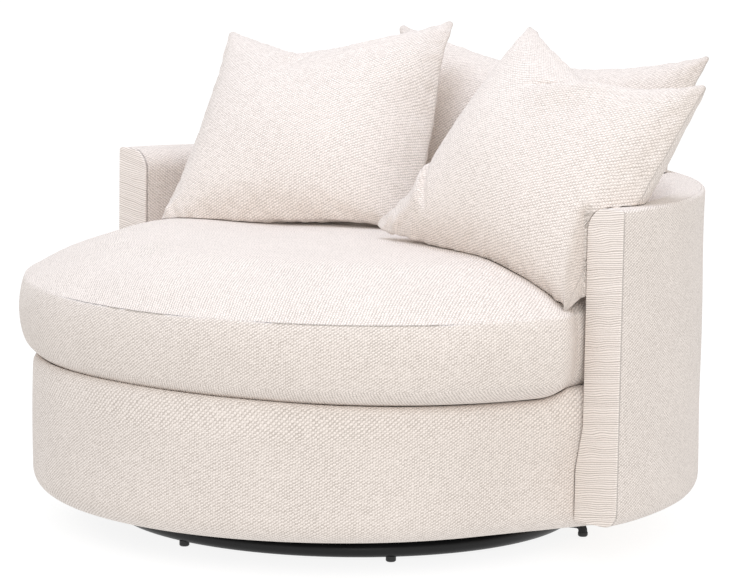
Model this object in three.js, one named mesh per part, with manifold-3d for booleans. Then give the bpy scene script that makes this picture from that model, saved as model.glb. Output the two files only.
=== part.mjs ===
// A round swivel cuddle chair: a steel ring base with a ball-bearing swivel, a timber frame for the
// drum seat and the half-round back, the upholstered covers over it, a round boxed seat cushion and
// three loose pillows. Sizes are in millimetres. X runs across the chair, Y from its front to its
// back and Z up from the floor.
import * as THREE from 'three';
import { mergeVertices } from 'three/addons/utils/BufferGeometryUtils.js';
import Module from 'manifold-3d';

const wasm = await Module();
wasm.setup();

// Clearances and the fineness of round shapes
const fit = 0.3;            // gap between pieces that touch
const padFit = 0.6;         // gap between soft pieces that press on each other
const overrun = 4;          // how far a cutting shape runs past what it cuts
const weldReach = 0.0005;   // points closer than this are one point
const roundFacets = 56;     // facets round the chair's large circles
const swivelFacets = 32;    // facets round the swivel's races
const tubeFacets = 12;      // facets round a bent tube
const boltFacets = 12;
const ballFacets = 6;
const cornerFacets = 4;     // facets in a quarter round

// The half-round back and arms
const barrelRadius = 657;
const barrelTop = 615;
const barrelWall = 80;
const barrelUnderRound = 28;
const rimOuterRound = 8;
const rimInnerRound = 25;
const rimSeamAngle = 80;    // how far round the rim's outer corner the seam lies, in degrees
const armSetback = 37;      // the arms' flat fronts stand this far behind the barrel's centre
const armFacing = 5;        // padding and cloth on an arm's front
const armFacingRound = 4;
const armFootWall = 95;     // the arm's front is wider below the seat
const footTaperStart = 120; // that foot starts to narrow this far below the drum's top
const footTaperEnd = 45;

// The drum under the seat
const drumInset = 30;       // the drum is this much smaller in radius than the arms' feet inside
const drumAdvance = 10;     // the drum's centre lies this far in front of the barrel's
const drumBottom = 57;
const drumTop = 285;
const drumUnderRound = 40;
const drumTopRound = 20;
const drumPadding = 31.7;   // padding and cloth round the drum's frame
const drumCoverEnd = 60;    // the drum's cover runs this far past the arms' fronts
const coverTuck = 30;       // width of a cover's edge that is stapled under the frame
const coverWrap = 4.7;      // thickness of that edge

// The seat cushion
const cushionProud = 20;    // its seams are this much larger in radius than the back inside
const cushionSetback = 53;  // its centre lies this far behind the barrel's centre
const cushionBulge = 9;     // how far the boxing stands out between its two seams
const cushionBoxing = 112;  // height from the lower seam to the upper one
const cushionCrown = 70;    // height of the crown over the upper seam
const cushionBelly = 37;    // depth of the underside below the lower seam
const cushionSideGap = 10;  // slack between the cushion's seams and the back
const cushionSideBulge = 3;
const squeezeStartAngle = -4;   // where the arms start to press its sides in, and have done so,
const squeezeEndAngle = 3;      // in degrees behind the line across its centre
const crownPower = 8;       // higher is flatter on top and rounder at the shoulder
const bellyPower = 20;
const crownShares = [0.98, 0.93, 0.85, 0.72, 0.45];
const bellyShares = [0.5, 0.82, 0.91, 0.965];
const boxingFacets = 4;

// The frame's boards, studs and webbing
const boardThickness = 18;
const skinThickness = 3;
const innerPadding = 14;
const outerPadding = 15;
const studWidth = 60;
const railWidth = 60;
const strapWidth = 50;
const strapThickness = 2;
const deckPadThickness = 15;
const dustClothThickness = 1.5;

// The swivel base
const swivelSetback = 31;   // the swivel's axis lies this far behind the barrel's centre
const ringRadius = 408;
const ringTube = 28;
const glideHeight = 8;
const glideWidth = 18;
const glideTaper = 2;
const barWidth = 30;
const barHeight = 20;
const barCorner = 3;
const outriggerTube = 17;
const outriggerReach = 50;  // from the ring's centre line out to the foot's centre
const outriggerBend = 14;
const tipWidth = 18;
const tipRound = 4;
const plateWidth = 300;
const plateCorner = 30;
const plateThickness = 3;
const raceMargin = 45;      // from the plate's edge in to the race's
const raceThickness = 8;
const raceBore = 14;
const ballInset = 23;       // from the race's edge in to the circle that the balls roll on
const ballWidth = 8;
const ballPlay = 0.35;
const ballCount = 12;
const cageInside = 20;      // the cage runs this far inside the balls' circle
const cageOutside = 8;
const cageThickness = 1.6;
const boltHead = 16;
const boltHeadHeight = 4.2;
const boltShank = 8;
const boltInset = 26;       // from the plate's edge in to a bolt's centre
const boltGrip = 13;        // length of the lower bolts' shanks in the bars
const screwGrip = 14;       // length of the upper bolts' shanks in the seat panel

// Angles in degrees about the swivel's axis, from +X round towards the back
const barAngle = 24;
const glideAngles = [-86, -32, 94, 148];
const barrelStudAngles = [42, 90, 138];
const seatStudAngles = [45, 135, 225, 315];
const strapPlaceShares = [-0.55, 0, 0.55];
const crossStrapPlaceShares = [-0.55, 0, 0.55];

// The pillows. The centre's place is an angle about the barrel's centre, an inset from the back's
// inside and a rise over the seat cushion's crown. Draw is how far the sides pull in between the
// corners, and topDraw the top and bottom edges. Dent is the depth of the chop in the top edge,
// dentPlace is where it lies from left (-1) to right (1), and a larger spread keeps the edge low
// for longer on the chop's right.
const pillows = {
  back_pillow: {
    width: 665, height: 358, thickness: 175, placeAngle: 90.7, inset: 74, rise: 171.3, leanAngle: 21.3,
    rollAngle: 2.3, turnAngle: 14.4, drawShare: 0.097, topDrawShare: 0.051, topShare: 1.023,
    dent: 50, dentPlaceShare: -0.2, dentSpreadPower: 2.4,
  },
  left_pillow: {
    width: 497, height: 473, thickness: 174, placeAngle: 145.9, inset: 268, rise: 181.5, leanAngle: 43.3,
    rollAngle: -6.1, turnAngle: 19.4, drawShare: 0.059, topDrawShare: 0.023, topShare: 0.938,
    dent: 86, dentPlaceShare: -0.15, dentSpreadPower: 1,
  },
  right_pillow: {
    width: 486, height: 452, thickness: 205, placeAngle: 17.4, inset: 156, rise: 164.5, leanAngle: 33.2,
    rollAngle: 12, turnAngle: 4.6, drawShare: 0.022, topDrawShare: 0.07, topShare: 0.9,
    dent: 58, dentPlaceShare: 0.01, dentSpreadPower: 1.45,
  },
};
const pillowFullness = 0.5;     // exponent of the pillow's section: lower is plumper at the edges
const pillowGrid = 14;          // facets along each side of a pillow
const pillowSeamThickness = 5;
const pillowDentRoundShare = 0.06;  // how softly the chop's V turns at its foot

// Heights that follow from the sizes above, from the floor up
const ringTop = glideHeight + ringTube;
const ringHeight = glideHeight + ringTube / 2;
const tipHeight = ringHeight - outriggerBend - fit;
const lowerPlateBottom = ringTop + fit;
const lowerRaceBottom = lowerPlateBottom + plateThickness + fit;
const seatPanelBottom = drumBottom + coverWrap + fit;
const upperPlateBottom = seatPanelBottom - fit - plateThickness;
const upperRaceBottom = upperPlateBottom - fit - raceThickness;
const ballHeight = (lowerRaceBottom + raceThickness + upperRaceBottom) / 2;
const barrelPanelBottom = seatPanelBottom + boardThickness + fit;
const barrelPanelTop = barrelPanelBottom + boardThickness;
const barrelBottom = barrelPanelBottom - fit - coverWrap;
const crossStrapBottom = drumTop - deckPadThickness - fit - strapThickness;
const strapBottom = crossStrapBottom - fit - strapThickness;
const seatRailBottom = strapBottom - fit - boardThickness;
const lowSeam = drumTop + fit + cushionBelly;
const highSeam = lowSeam + cushionBoxing;
const crownTop = highSeam + cushionCrown;
const footTaperLow = drumTop - footTaperStart;
const footTaperHigh = drumTop - footTaperEnd;
const barrelRailTop = barrelTop - rimInnerRound;
const barrelRailBottom = barrelRailTop - boardThickness;

// Radii of the main rounds
const barrelInner = barrelRadius - barrelWall;
const barrelFootInner = barrelRadius - armFootWall;
const drumRadius = barrelFootInner - drumInset;
const drumFrameRadius = drumRadius - drumPadding - fit;
const drumInner = drumFrameRadius + fit;
const cushionRadius = barrelInner + cushionProud;
const raceRadius = plateWidth / 2 - raceMargin;
const ballPath = raceRadius - ballInset;

// Places in plan: the origin lies under the middle of the whole chair
const cushionFront = cushionRadius + cushionBulge - cushionSetback;
const barrelY = (cushionFront - barrelRadius) / 2;
const drumY = barrelY - drumAdvance;
const swivelY = barrelY + swivelSetback;
const armFront = barrelY + armSetback;
const facingBack = armFront + armFacing;
const frameFront = facingBack + fit;
const drumCoverBack = armFront + drumCoverEnd;

// Radii of the layers in the barrel's wall, from the seat outwards
const innerSkinInner = barrelInner + innerPadding + fit;
const studInner = innerSkinInner + skinThickness + fit;
const outerSkinOuter = barrelRadius - outerPadding - fit;
const studOuter = outerSkinOuter - skinThickness - fit;
const rimSeamInset = rimOuterRound - 2 * fit;

const inRadians = THREE.MathUtils.degToRad;
const chair = new THREE.Group();

// A geometry with its points merged, flat triangles dropped and its faces turned outwards.
function welded(geometry) {
  const bare = new THREE.BufferGeometry();
  bare.setAttribute('position', geometry.getAttribute('position').clone());
  bare.setIndex(geometry.getIndex());
  const merged = mergeVertices(bare, weldReach);
  const at = merged.getAttribute('position');
  const all = merged.getIndex().array;
  const kept = [];
  const [a, b, c] = [new THREE.Vector3(), new THREE.Vector3(), new THREE.Vector3()];
  let volume = 0;
  for (let i = 0; i < all.length; i += 3) {
    const [p, q, r] = [all[i], all[i + 1], all[i + 2]];
    if (p === q || q === r || r === p) continue;
    kept.push(p, q, r);
    b.fromBufferAttribute(at, q).cross(c.fromBufferAttribute(at, r));
    volume += a.fromBufferAttribute(at, p).dot(b);
  }
  merged.setIndex(volume < 0 ? kept.reverse() : kept);
  return merged;
}

// The solid of a geometry, for cuts and joins.
function solid(geometry) {
  const closed = welded(geometry);
  return new wasm.Manifold(new wasm.Mesh({
    numProp: 3,
    vertProperties: Float32Array.from(closed.getAttribute('position').array),
    triVerts: Uint32Array.from(closed.getIndex().array),
  }));
}

// The geometry of the largest body of a solid.
function geometryOf(shape) {
  const bodies = shape.decompose();
  const largest = bodies.reduce((best, body) => (body.volume() > best.volume() ? body : best));
  const mesh = largest.getMesh();
  const geometry = new THREE.BufferGeometry();
  const points = [];
  for (let i = 0; i < mesh.vertProperties.length; i += mesh.numProp) {
    points.push(...mesh.vertProperties.subarray(i, i + 3));
  }
  geometry.setAttribute('position', new THREE.Float32BufferAttribute(points, 3));
  geometry.setIndex(Array.from(mesh.triVerts));
  return geometry;
}

function finish(colour, roughness, metalness = 0) {
  return () => new THREE.MeshStandardMaterial({ color: colour, roughness, metalness });
}

const fabric = finish('#e6ddd0', 0.95);
const timber = finish('#c8a877', 0.8);
const hardboard = finish('#8a6a48', 0.85);
const webbing = finish('#3a3a3d', 0.9);
const dustCloth = finish('#1c1c1e', 0.95);
const blackSteel = finish('#101012', 0.3, 0.6);
const brightSteel = finish('#b9bcc0', 0.35, 0.9);
const blackPlastic = finish('#141414', 0.6);

function place(group, name, geometry, material) {
  const mesh = new THREE.Mesh(welded(geometry), material());
  mesh.geometry.computeVertexNormals();
  mesh.name = name;
  group.add(mesh);
  return mesh;
}

// Points of a round, as [radius, height], from one angle to another in degrees.
function arc(x, z, radius, from, to, steps = cornerFacets) {
  return Array.from({ length: steps + 1 }, (_, i) => {
    const angle = inRadians(from + ((to - from) * i) / steps);
    return [x + radius * Math.cos(angle), z + radius * Math.sin(angle)];
  });
}

// A solid of revolution about the vertical axis at depth y, from a section of [radius, height] points.
function turned(section, y = 0, facets = roundFacets) {
  const geometry = new THREE.LatheGeometry(section.map(([r, z]) => new THREE.Vector2(r, z)), facets);
  return geometry.rotateX(Math.PI / 2).translate(0, y, 0);
}

const closedSection = (points) => [...points, points[0]];
const ringSection = (inner, outer, low, high) =>
  closedSection([[inner, low], [outer, low], [outer, high], [inner, high]]);
const discSection = (radius, low, high) => [[0, low], [radius, low], [radius, high], [0, high]];

// A box between two corners.
function box([x0, y0, z0], [x1, y1, z1]) {
  const geometry = new THREE.BoxGeometry(x1 - x0, y1 - y0, z1 - z0);
  return geometry.translate((x0 + x1) / 2, (y0 + y1) / 2, (z0 + z1) / 2);
}

// Everything behind the plane at depth y, as a box that reaches past the whole chair.
function behind(y) {
  const reach = 2 * barrelRadius;
  return solid(box([-reach, y, -reach], [reach, y + 2 * reach, reach]));
}

// An upright prism over an outline of a shape, from one height to another.
function prism(shape, low, high) {
  const geometry = new THREE.ExtrudeGeometry(shape, {
    depth: high - low, bevelEnabled: false, curveSegments: cornerFacets,
  });
  return geometry.translate(0, 0, low);
}

function roundedRectangle(width, height, corner) {
  const [x, y] = [width / 2, height / 2];
  const shape = new THREE.Shape();
  shape.moveTo(-x + corner, -y).lineTo(x - corner, -y);
  shape.absarc(x - corner, -y + corner, corner, -Math.PI / 2, 0);
  shape.lineTo(x, y - corner).absarc(x - corner, y - corner, corner, 0, Math.PI / 2);
  shape.lineTo(-x + corner, y).absarc(-x + corner, y - corner, corner, Math.PI / 2, Math.PI);
  shape.lineTo(-x, -y + corner).absarc(-x + corner, -y + corner, corner, Math.PI, 1.5 * Math.PI);
  return shape;
}

function circleShape(radius) {
  return new THREE.Shape().absarc(0, 0, radius, 0, 2 * Math.PI);
}

// The swivel base: a steel ring on glides, crossed by two bars that carry the lower swivel plate.
const base = new THREE.Group();
base.position.y = swivelY;
chair.add(base);

function ringForm(tubeRadius) {
  return turned(closedSection(arc(ringRadius, ringHeight, tubeRadius, 0, 360, tubeFacets).slice(1)));
}

place(base, 'floor_ring', ringForm(ringTube / 2), blackSteel);

// What meets the ring is laid out along X, turned to its angle and coped round the ring's tube.
function copedToRing(shape, angle) {
  return geometryOf(shape.rotate([0, 0, angle]).subtract(solid(ringForm(ringTube / 2 + fit))));
}

const barMiddle = ringTop - barHeight / 2;
const lowerBoltPlace = plateWidth / 2 - boltInset;

function barBetween(from, to) {
  const across = roundedRectangle(barHeight, barWidth, barCorner);
  const geometry = new THREE.ExtrudeGeometry(across, {
    depth: to - from, bevelEnabled: false, curveSegments: 1,
  });
  return solid(geometry.rotateY(Math.PI / 2).translate(from, 0, barMiddle));
}

function boltHole(x, y, low, high) {
  const geometry = turned(discSection(boltShank / 2 + fit, low, high), 0, boltFacets);
  return solid(geometry.translate(x, y, 0));
}

const throughBars = [ringTop - boltGrip - fit, ringTop + overrun];
const crossBar = [-1, 1].reduce(
  (bar, side) => bar.subtract(boltHole(side * lowerBoltPlace, 0, ...throughBars)),
  barBetween(-ringRadius, ringRadius),
);
place(base, 'cross_bar', copedToRing(crossBar, barAngle), blackSteel);
for (const [name, turn] of [['half_bar_back', 90], ['half_bar_front', -90]]) {
  const half = barBetween(barWidth / 2 + fit, ringRadius);
  const drilled = half.subtract(boltHole(lowerBoltPlace, 0, ...throughBars));
  place(base, name, copedToRing(drilled, barAngle + turn), blackSteel);
}

const glideSection = [
  [0, 0], [glideWidth / 2 - glideTaper, 0], [glideWidth / 2, glideTaper],
  [glideWidth / 2, glideHeight + glideTaper], [0, glideHeight + glideTaper],
];
glideAngles.forEach((angle, i) => {
  const glide = solid(turned(glideSection, 0, boltFacets).translate(ringRadius, 0, 0));
  place(base, `glide_${i + 1}`, copedToRing(glide, angle), blackPlastic);
});

// An outrigger foot at each end of the long bar: a bent tube on the ring's outer side, with a tip.
class OutriggerLine extends THREE.CurvePath {
  constructor() {
    super();
    const [start, end] = [ringRadius, ringRadius + outriggerReach];
    const bend = new THREE.Vector3(end, 0, ringHeight);
    const turnIn = new THREE.Vector3(end - outriggerBend, 0, ringHeight);
    const turnOut = new THREE.Vector3(end, 0, ringHeight - outriggerBend);
    this.add(new THREE.LineCurve3(new THREE.Vector3(start, 0, ringHeight), turnIn));
    this.add(new THREE.QuadraticBezierCurve3(turnIn, bend, turnOut));
  }
}

for (const [i, turn] of [0, 180].entries()) {
  const tube = new THREE.ExtrudeGeometry(circleShape(outriggerTube / 2), {
    extrudePath: new OutriggerLine(), steps: tubeFacets, curveSegments: cornerFacets,
  });
  place(base, `outrigger_${i + 1}`, copedToRing(solid(tube), barAngle + turn), blackSteel);
  const tip = turned([
    [0, 0], ...arc(tipWidth / 2 - tipRound, tipRound, tipRound, -90, 0),
    [tipWidth / 2, tipHeight], [0, tipHeight],
  ], 0, boltFacets).translate(ringRadius + outriggerReach, 0, 0);
  place(base, `outrigger_tip_${i + 1}`, tip, blackPlastic).rotation.z = inRadians(barAngle + turn);
}

// The swivel: two steel plates, each with a race, and a cage of balls between the races.
const grooveRadius = ballWidth / 2 + ballPlay;

function plate(low, bolts) {
  let sheet = solid(prism(roundedRectangle(plateWidth, plateWidth, plateCorner), low, low + plateThickness));
  for (const [x, y] of bolts) {
    sheet = sheet.subtract(boltHole(x, y, low - overrun, low + plateThickness + overrun));
  }
  return sheet;
}

function race(low) {
  const groove = closedSection(arc(ballPath, ballHeight, grooveRadius, 0, 360, tubeFacets).slice(1));
  const section = ringSection(raceBore, raceRadius, low, low + raceThickness);
  return geometryOf(solid(turned(section, 0, swivelFacets)).subtract(solid(turned(groove, 0, swivelFacets))));
}

const lowerBolts = [0, 90, 180, 270].map((turn) => {
  const angle = inRadians(barAngle + turn);
  return [lowerBoltPlace * Math.cos(angle), lowerBoltPlace * Math.sin(angle)];
});
const upperBoltPlace = plateWidth / 2 - boltInset;
const upperBolts = [[1, 1], [-1, 1], [-1, -1], [1, -1]]
  .map(([x, y]) => [x * upperBoltPlace, y * upperBoltPlace]);

place(base, 'lower_plate', geometryOf(plate(lowerPlateBottom, lowerBolts)), blackSteel);
place(base, 'lower_race', race(lowerRaceBottom), brightSteel);
lowerBolts.forEach(([x, y], i) => {
  const seat = lowerPlateBottom + plateThickness + fit;
  const bolt = turned([
    [0, ringTop - boltGrip], [boltShank / 2, ringTop - boltGrip], [boltShank / 2, seat],
    [boltHead / 2, seat], [boltHead / 2, seat + boltHeadHeight], [0, seat + boltHeadHeight],
  ], 0, boltFacets);
  place(base, `lower_bolt_${i + 1}`, bolt.translate(x, y, 0), brightSteel);
});

const [cageBottom, cageTop] = [ballHeight - cageThickness / 2, ballHeight + cageThickness / 2];
const cage = ringSection(ballPath - cageInside, ballPath + cageOutside, cageBottom, cageTop);
let balls = solid(turned(cage, 0, swivelFacets));
for (let i = 0; i < ballCount; i += 1) {
  const angle = (2 * Math.PI * i) / ballCount;
  const ball = new THREE.SphereGeometry(ballWidth / 2, ballFacets, ballFacets);
  ball.translate(ballPath * Math.cos(angle), ballPath * Math.sin(angle), ballHeight);
  balls = balls.add(solid(ball));
}
place(base, 'ball_cage', geometryOf(balls), brightSteel);

// What turns with the chair starts at the upper plate.
const turning = new THREE.Group();
turning.position.y = swivelY;
chair.add(turning);
place(turning, 'upper_race', race(upperRaceBottom), brightSteel);
place(turning, 'upper_plate', geometryOf(plate(upperPlateBottom, upperBolts)), blackSteel);
upperBolts.forEach(([x, y], i) => {
  const seat = upperPlateBottom - fit;
  const end = seatPanelBottom + screwGrip;
  const bolt = turned([
    [0, seat - boltHeadHeight], [boltHead / 2, seat - boltHeadHeight], [boltHead / 2, seat],
    [boltShank / 2, seat], [boltShank / 2, end], [0, end],
  ], 0, boltFacets);
  place(turning, `upper_bolt_${i + 1}`, bolt.translate(x, y, 0), brightSteel);
});

// The drum's frame: a round panel, the board that carries the back, studs and a top rail.
const body = new THREE.Group();
chair.add(body);

const seatPanelSection = discSection(drumFrameRadius, seatPanelBottom, seatPanelBottom + boardThickness);
let seatPanel = solid(turned(seatPanelSection, drumY));
for (const [x, y] of upperBolts) {
  const hole = [seatPanelBottom - overrun, seatPanelBottom + screwGrip + fit];
  seatPanel = seatPanel.subtract(boltHole(x, y + swivelY, ...hole));
}
place(body, 'seat_panel', geometryOf(seatPanel), timber);

// The drum's band leaves its round front along tangents, towards the front corners of the arms' feet.
const footPlace = new THREE.Vector2(barrelFootInner - fit, armFront - drumY);
const leaveAngle = Math.atan2(footPlace.y, footPlace.x) - Math.acos(drumRadius / footPlace.length());

function drumBand(section) {
  const geometry = turned(section);
  const at = geometry.getAttribute('position');
  for (let i = 0; i < at.count; i += 1) {
    const [x, y] = [at.getX(i), at.getY(i)];
    const radius = Math.hypot(x, y);
    const past = THREE.MathUtils.clamp(Math.asin(y / radius) - leaveAngle, 0, Math.PI / 4);
    const out = radius > drumInner ? drumRadius / Math.cos(past) - drumRadius : 0;
    at.setXY(i, x * (1 + out / radius), y * (1 + out / radius));
  }
  return solid(geometry.translate(0, drumY, 0));
}

const panelRadius = outerSkinOuter;
const backBoard = solid(turned(discSection(panelRadius, barrelPanelBottom, barrelPanelTop), barrelY))
  .intersect(behind(frameFront));
const drumSlot = drumBand(ringSection(drumFrameRadius, drumRadius + fit, 0, drumTop))
  .subtract(behind(drumCoverBack + fit));
const drumDisc = solid(turned(discSection(drumFrameRadius, barrelPanelBottom, barrelPanelTop), drumY));
place(body, 'barrel_panel', geometryOf(backBoard.subtract(drumSlot).add(drumDisc)), timber);

// A piece of a ring with straight sides, as wide as a stud, at an angle about the ring's centre.
function stud(inner, outer, low, high, angle, y) {
  const wedge = box([0, -studWidth / 2, low], [2 * outer, studWidth / 2, high])
    .rotateZ(inRadians(angle)).translate(0, y, 0);
  return solid(turned(ringSection(inner, outer, low, high), y)).intersect(solid(wedge));
}

const railInner = drumFrameRadius - railWidth;
const studLow = barrelPanelTop + fit;
seatStudAngles.forEach((angle, i) => {
  const post = stud(railInner, drumFrameRadius, studLow, seatRailBottom - fit, angle, drumY);
  place(body, `seat_stud_${i + 1}`, geometryOf(post), timber);
});
const seatRail = ringSection(railInner, drumFrameRadius, seatRailBottom, seatRailBottom + boardThickness);
place(body, 'seat_rail', turned(seatRail, drumY), timber);

// Elastic webbing from rail to rail, the crossing straps over the long ones, under a foam deck.
const railMiddle = drumFrameRadius - railWidth / 2;

function strapEnd(offset) {
  return Math.sqrt(railMiddle ** 2 - offset ** 2);
}

strapPlaceShares.forEach((share, i) => {
  const x = share * railMiddle;
  const strap = box([x - strapWidth / 2, drumY - strapEnd(x), strapBottom],
    [x + strapWidth / 2, drumY + strapEnd(x), strapBottom + strapThickness]);
  place(body, `seat_strap_${i + 1}`, strap, webbing);
});
crossStrapPlaceShares.forEach((share, i) => {
  const y = share * railMiddle;
  const strap = box([-strapEnd(y), drumY + y - strapWidth / 2, crossStrapBottom],
    [strapEnd(y), drumY + y + strapWidth / 2, crossStrapBottom + strapThickness]);
  place(body, `cross_strap_${i + 1}`, strap, webbing);
});
const deckSection = discSection(drumFrameRadius, drumTop - deckPadThickness, drumTop);
place(body, 'deck_pad', turned(deckSection, drumY), fabric);

// The drum's padded cover runs round the front and a little way behind the arms, which press on it.
const drumCover = closedSection([
  [drumInner - coverTuck, drumBottom],
  ...arc(drumRadius - drumUnderRound, drumBottom + drumUnderRound, drumUnderRound, -90, 0),
  ...arc(drumRadius - drumTopRound, drumTop - drumTopRound, drumTopRound, 0, 90),
  [drumInner, drumTop], [drumInner, drumBottom + coverWrap], [drumInner - coverTuck, drumBottom + coverWrap],
]);
const armsPress = solid(turned(closedSection([
  [barrelFootInner - fit, 0], [barrelRadius, 0], [barrelRadius, drumTop + overrun],
  [barrelInner - fit, drumTop + overrun], [barrelInner - fit, footTaperHigh],
  [barrelFootInner - fit, footTaperLow],
]), barrelY)).intersect(behind(armFront - fit));
const drumCoverFront = drumBand(drumCover).subtract(behind(drumCoverBack)).subtract(armsPress);
place(body, 'seat_base_cover', geometryOf(drumCoverFront), fabric);
const dustHole = (plateWidth / 2) * Math.SQRT2;
const dustTop = seatPanelBottom - fit;
const dustRadius = drumInner - coverTuck - fit;
const dustSheet = solid(turned(discSection(dustRadius, dustTop - dustClothThickness, dustTop), drumY));
const plateClear = solid(turned(discSection(dustHole, 0, drumTop), swivelY, swivelFacets));
place(body, 'dust_cover', geometryOf(dustSheet.subtract(plateClear)), dustCloth);

// The back's frame: studs between two thin bent skins, under a half-round top rail.
const studTop = barrelRailBottom - fit;
barrelStudAngles.forEach((angle, i) => {
  const post = stud(studInner, studOuter, studLow, studTop, angle, barrelY);
  place(body, `barrel_stud_${i + 1}`, geometryOf(post), timber);
});
for (const [name, side] of [['arm_post_right', 1], ['arm_post_left', -1]]) {
  const front = solid(box([0, frameFront, studLow], [side * barrelRadius, frameFront + studWidth, studTop]));
  const wall = solid(turned(ringSection(studInner, studOuter, studLow, studTop), barrelY));
  place(body, name, geometryOf(wall.intersect(front)), timber);
}

// A section turned about the barrel's centre, as far as the fronts of the arms.
function halfTurned(section) {
  return geometryOf(solid(turned(section, barrelY)).intersect(behind(frameFront)));
}

const innerSkin = ringSection(innerSkinInner, innerSkinInner + skinThickness, studLow, studTop);
place(body, 'inner_skin', halfTurned(innerSkin), hardboard);
const outerSkin = ringSection(outerSkinOuter - skinThickness, outerSkinOuter, studLow, studTop);
place(body, 'outer_skin', halfTurned(outerSkin), hardboard);
const railSection = ringSection(innerSkinInner, outerSkinOuter, barrelRailBottom, barrelRailTop);
place(body, 'barrel_rail', halfTurned(railSection), timber);

// The back's padded covers: the inside one goes over the rim to the seam, the outside one meets it.
const rimSeam = barrelRadius - rimSeamInset;
const insideCover = closedSection([
  [barrelFootInner, studLow], [barrelFootInner, footTaperLow], [barrelInner, footTaperHigh],
  ...arc(barrelInner + rimInnerRound, barrelTop - rimInnerRound, rimInnerRound, 180, 90),
  [rimSeam - fit, barrelTop], [rimSeam - fit, barrelRailTop + fit],
  [barrelInner + innerPadding, barrelRailTop + fit], [barrelInner + innerPadding, studLow],
]);
place(body, 'inside_cover', halfTurned(insideCover), fabric);
const outerInner = barrelRadius - outerPadding;
const outsideCover = closedSection([
  [barrelRadius - barrelUnderRound - coverTuck, barrelBottom],
  ...arc(barrelRadius - barrelUnderRound, barrelBottom + barrelUnderRound, barrelUnderRound, -90, 0),
  ...arc(barrelRadius - rimOuterRound, barrelTop - rimOuterRound, rimOuterRound, 0, rimSeamAngle),
  [rimSeam, barrelRailTop], [outerInner, barrelRailTop], [outerInner, barrelBottom + coverWrap],
  [barrelRadius - barrelUnderRound - coverTuck, barrelBottom + coverWrap],
]);
place(body, 'outside_cover', halfTurned(outsideCover), fabric);

// An arm's front panel, outlined in X and Z: wider at the foot, round at the rim and underneath.
const facingOuter = Math.sqrt(barrelRadius ** 2 - (armSetback + armFacing) ** 2) - armFacingRound;
const facingInner = barrelInner + armFacingRound;
const facingFoot = barrelFootInner + armFacingRound;
const facingTop = barrelTop - armFacingRound;
const facingBottom = barrelBottom + armFacingRound;

function facingGeometry() {
  const shape = new THREE.Shape();
  const [inRound, outRound, underRound] = [rimInnerRound, rimOuterRound, barrelUnderRound]
    .map((round) => round - armFacingRound);
  shape.moveTo(facingFoot, facingBottom).lineTo(facingOuter - underRound, facingBottom);
  shape.absarc(facingOuter - underRound, facingBottom + underRound, underRound, -Math.PI / 2, 0);
  shape.lineTo(facingOuter, facingTop - outRound);
  shape.absarc(facingOuter - outRound, facingTop - outRound, outRound, 0, Math.PI / 2);
  shape.lineTo(facingInner + inRound, facingTop);
  shape.absarc(facingInner + inRound, facingTop - inRound, inRound, Math.PI / 2, Math.PI);
  shape.lineTo(facingInner, footTaperHigh).lineTo(facingFoot, footTaperLow);
  const geometry = new THREE.ExtrudeGeometry(shape, {
    depth: armFacing, bevelThickness: armFacingRound, bevelSize: armFacingRound,
    bevelSegments: cornerFacets - 1, curveSegments: cornerFacets,
  });
  return geometry.rotateX(Math.PI / 2).translate(0, facingBack + armFacingRound, 0);
}

// The form is rounded at both faces, so the back of the panel is cut flat.
const rightFacing = solid(facingGeometry()).subtract(behind(facingBack));
place(body, 'arm_front_right', geometryOf(rightFacing), fabric);
place(body, 'arm_front_left', geometryOf(rightFacing.mirror([1, 0, 0])), fabric);

// The seat cushion is round in front and squeezed between the arms. Each ring of its surface is a
// share of the seam's radius, and stands a share of the boxing's bulge outside it.
function cushionEdge(angle, grow) {
  const front = cushionRadius + grow;
  const squeezed = barrelInner - cushionSideGap + grow;
  const round = cushionSetback * Math.sin(angle)
    + Math.sqrt(front ** 2 - (cushionSetback * Math.cos(angle)) ** 2);
  const degrees = THREE.MathUtils.radToDeg(Math.asin(Math.sin(angle)));
  const share = THREE.MathUtils.smoothstep(degrees, squeezeStartAngle, squeezeEndAngle);
  return {
    seam: THREE.MathUtils.lerp(round, squeezed, share),
    bulge: THREE.MathUtils.lerp(cushionBulge, cushionSideBulge, share),
  };
}

function cushionGeometry(grow = 0) {
  const rings = [];
  for (const share of bellyShares) {
    rings.push({ share, bulge: 0, z: lowSeam - cushionBelly * (1 - share ** bellyPower) - grow });
  }
  for (let i = 0; i <= boxingFacets; i += 1) {
    const t = i / boxingFacets;
    rings.push({ share: 1, bulge: Math.sin(Math.PI * t), z: lowSeam + cushionBoxing * t });
  }
  for (const share of crownShares) {
    rings.push({ share, bulge: 0, z: highSeam + cushionCrown * (1 - share ** crownPower) + grow });
  }
  const points = [0, barrelY, lowSeam - cushionBelly - grow, 0, barrelY, crownTop + grow];
  const faces = [];
  for (const ring of rings) {
    for (let k = 0; k < roundFacets; k += 1) {
      const angle = (2 * Math.PI * k) / roundFacets;
      const edge = cushionEdge(angle, grow);
      const radius = ring.share * edge.seam + ring.bulge * edge.bulge;
      points.push(radius * Math.cos(angle), barrelY + radius * Math.sin(angle), ring.z);
    }
  }
  const at = (ring, k) => 2 + ring * roundFacets + (k % roundFacets);
  const last = rings.length - 1;
  for (let k = 0; k < roundFacets; k += 1) {
    faces.push(0, at(0, k + 1), at(0, k), 1, at(last, k), at(last, k + 1));
    for (let ring = 0; ring < last; ring += 1) {
      faces.push(at(ring, k), at(ring, k + 1), at(ring + 1, k + 1));
      faces.push(at(ring, k), at(ring + 1, k + 1), at(ring + 1, k));
    }
  }
  const geometry = new THREE.BufferGeometry();
  geometry.setAttribute('position', new THREE.Float32BufferAttribute(points, 3));
  geometry.setIndex(faces);
  return geometry;
}

place(body, 'seat_cushion', cushionGeometry(), fabric);

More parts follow.
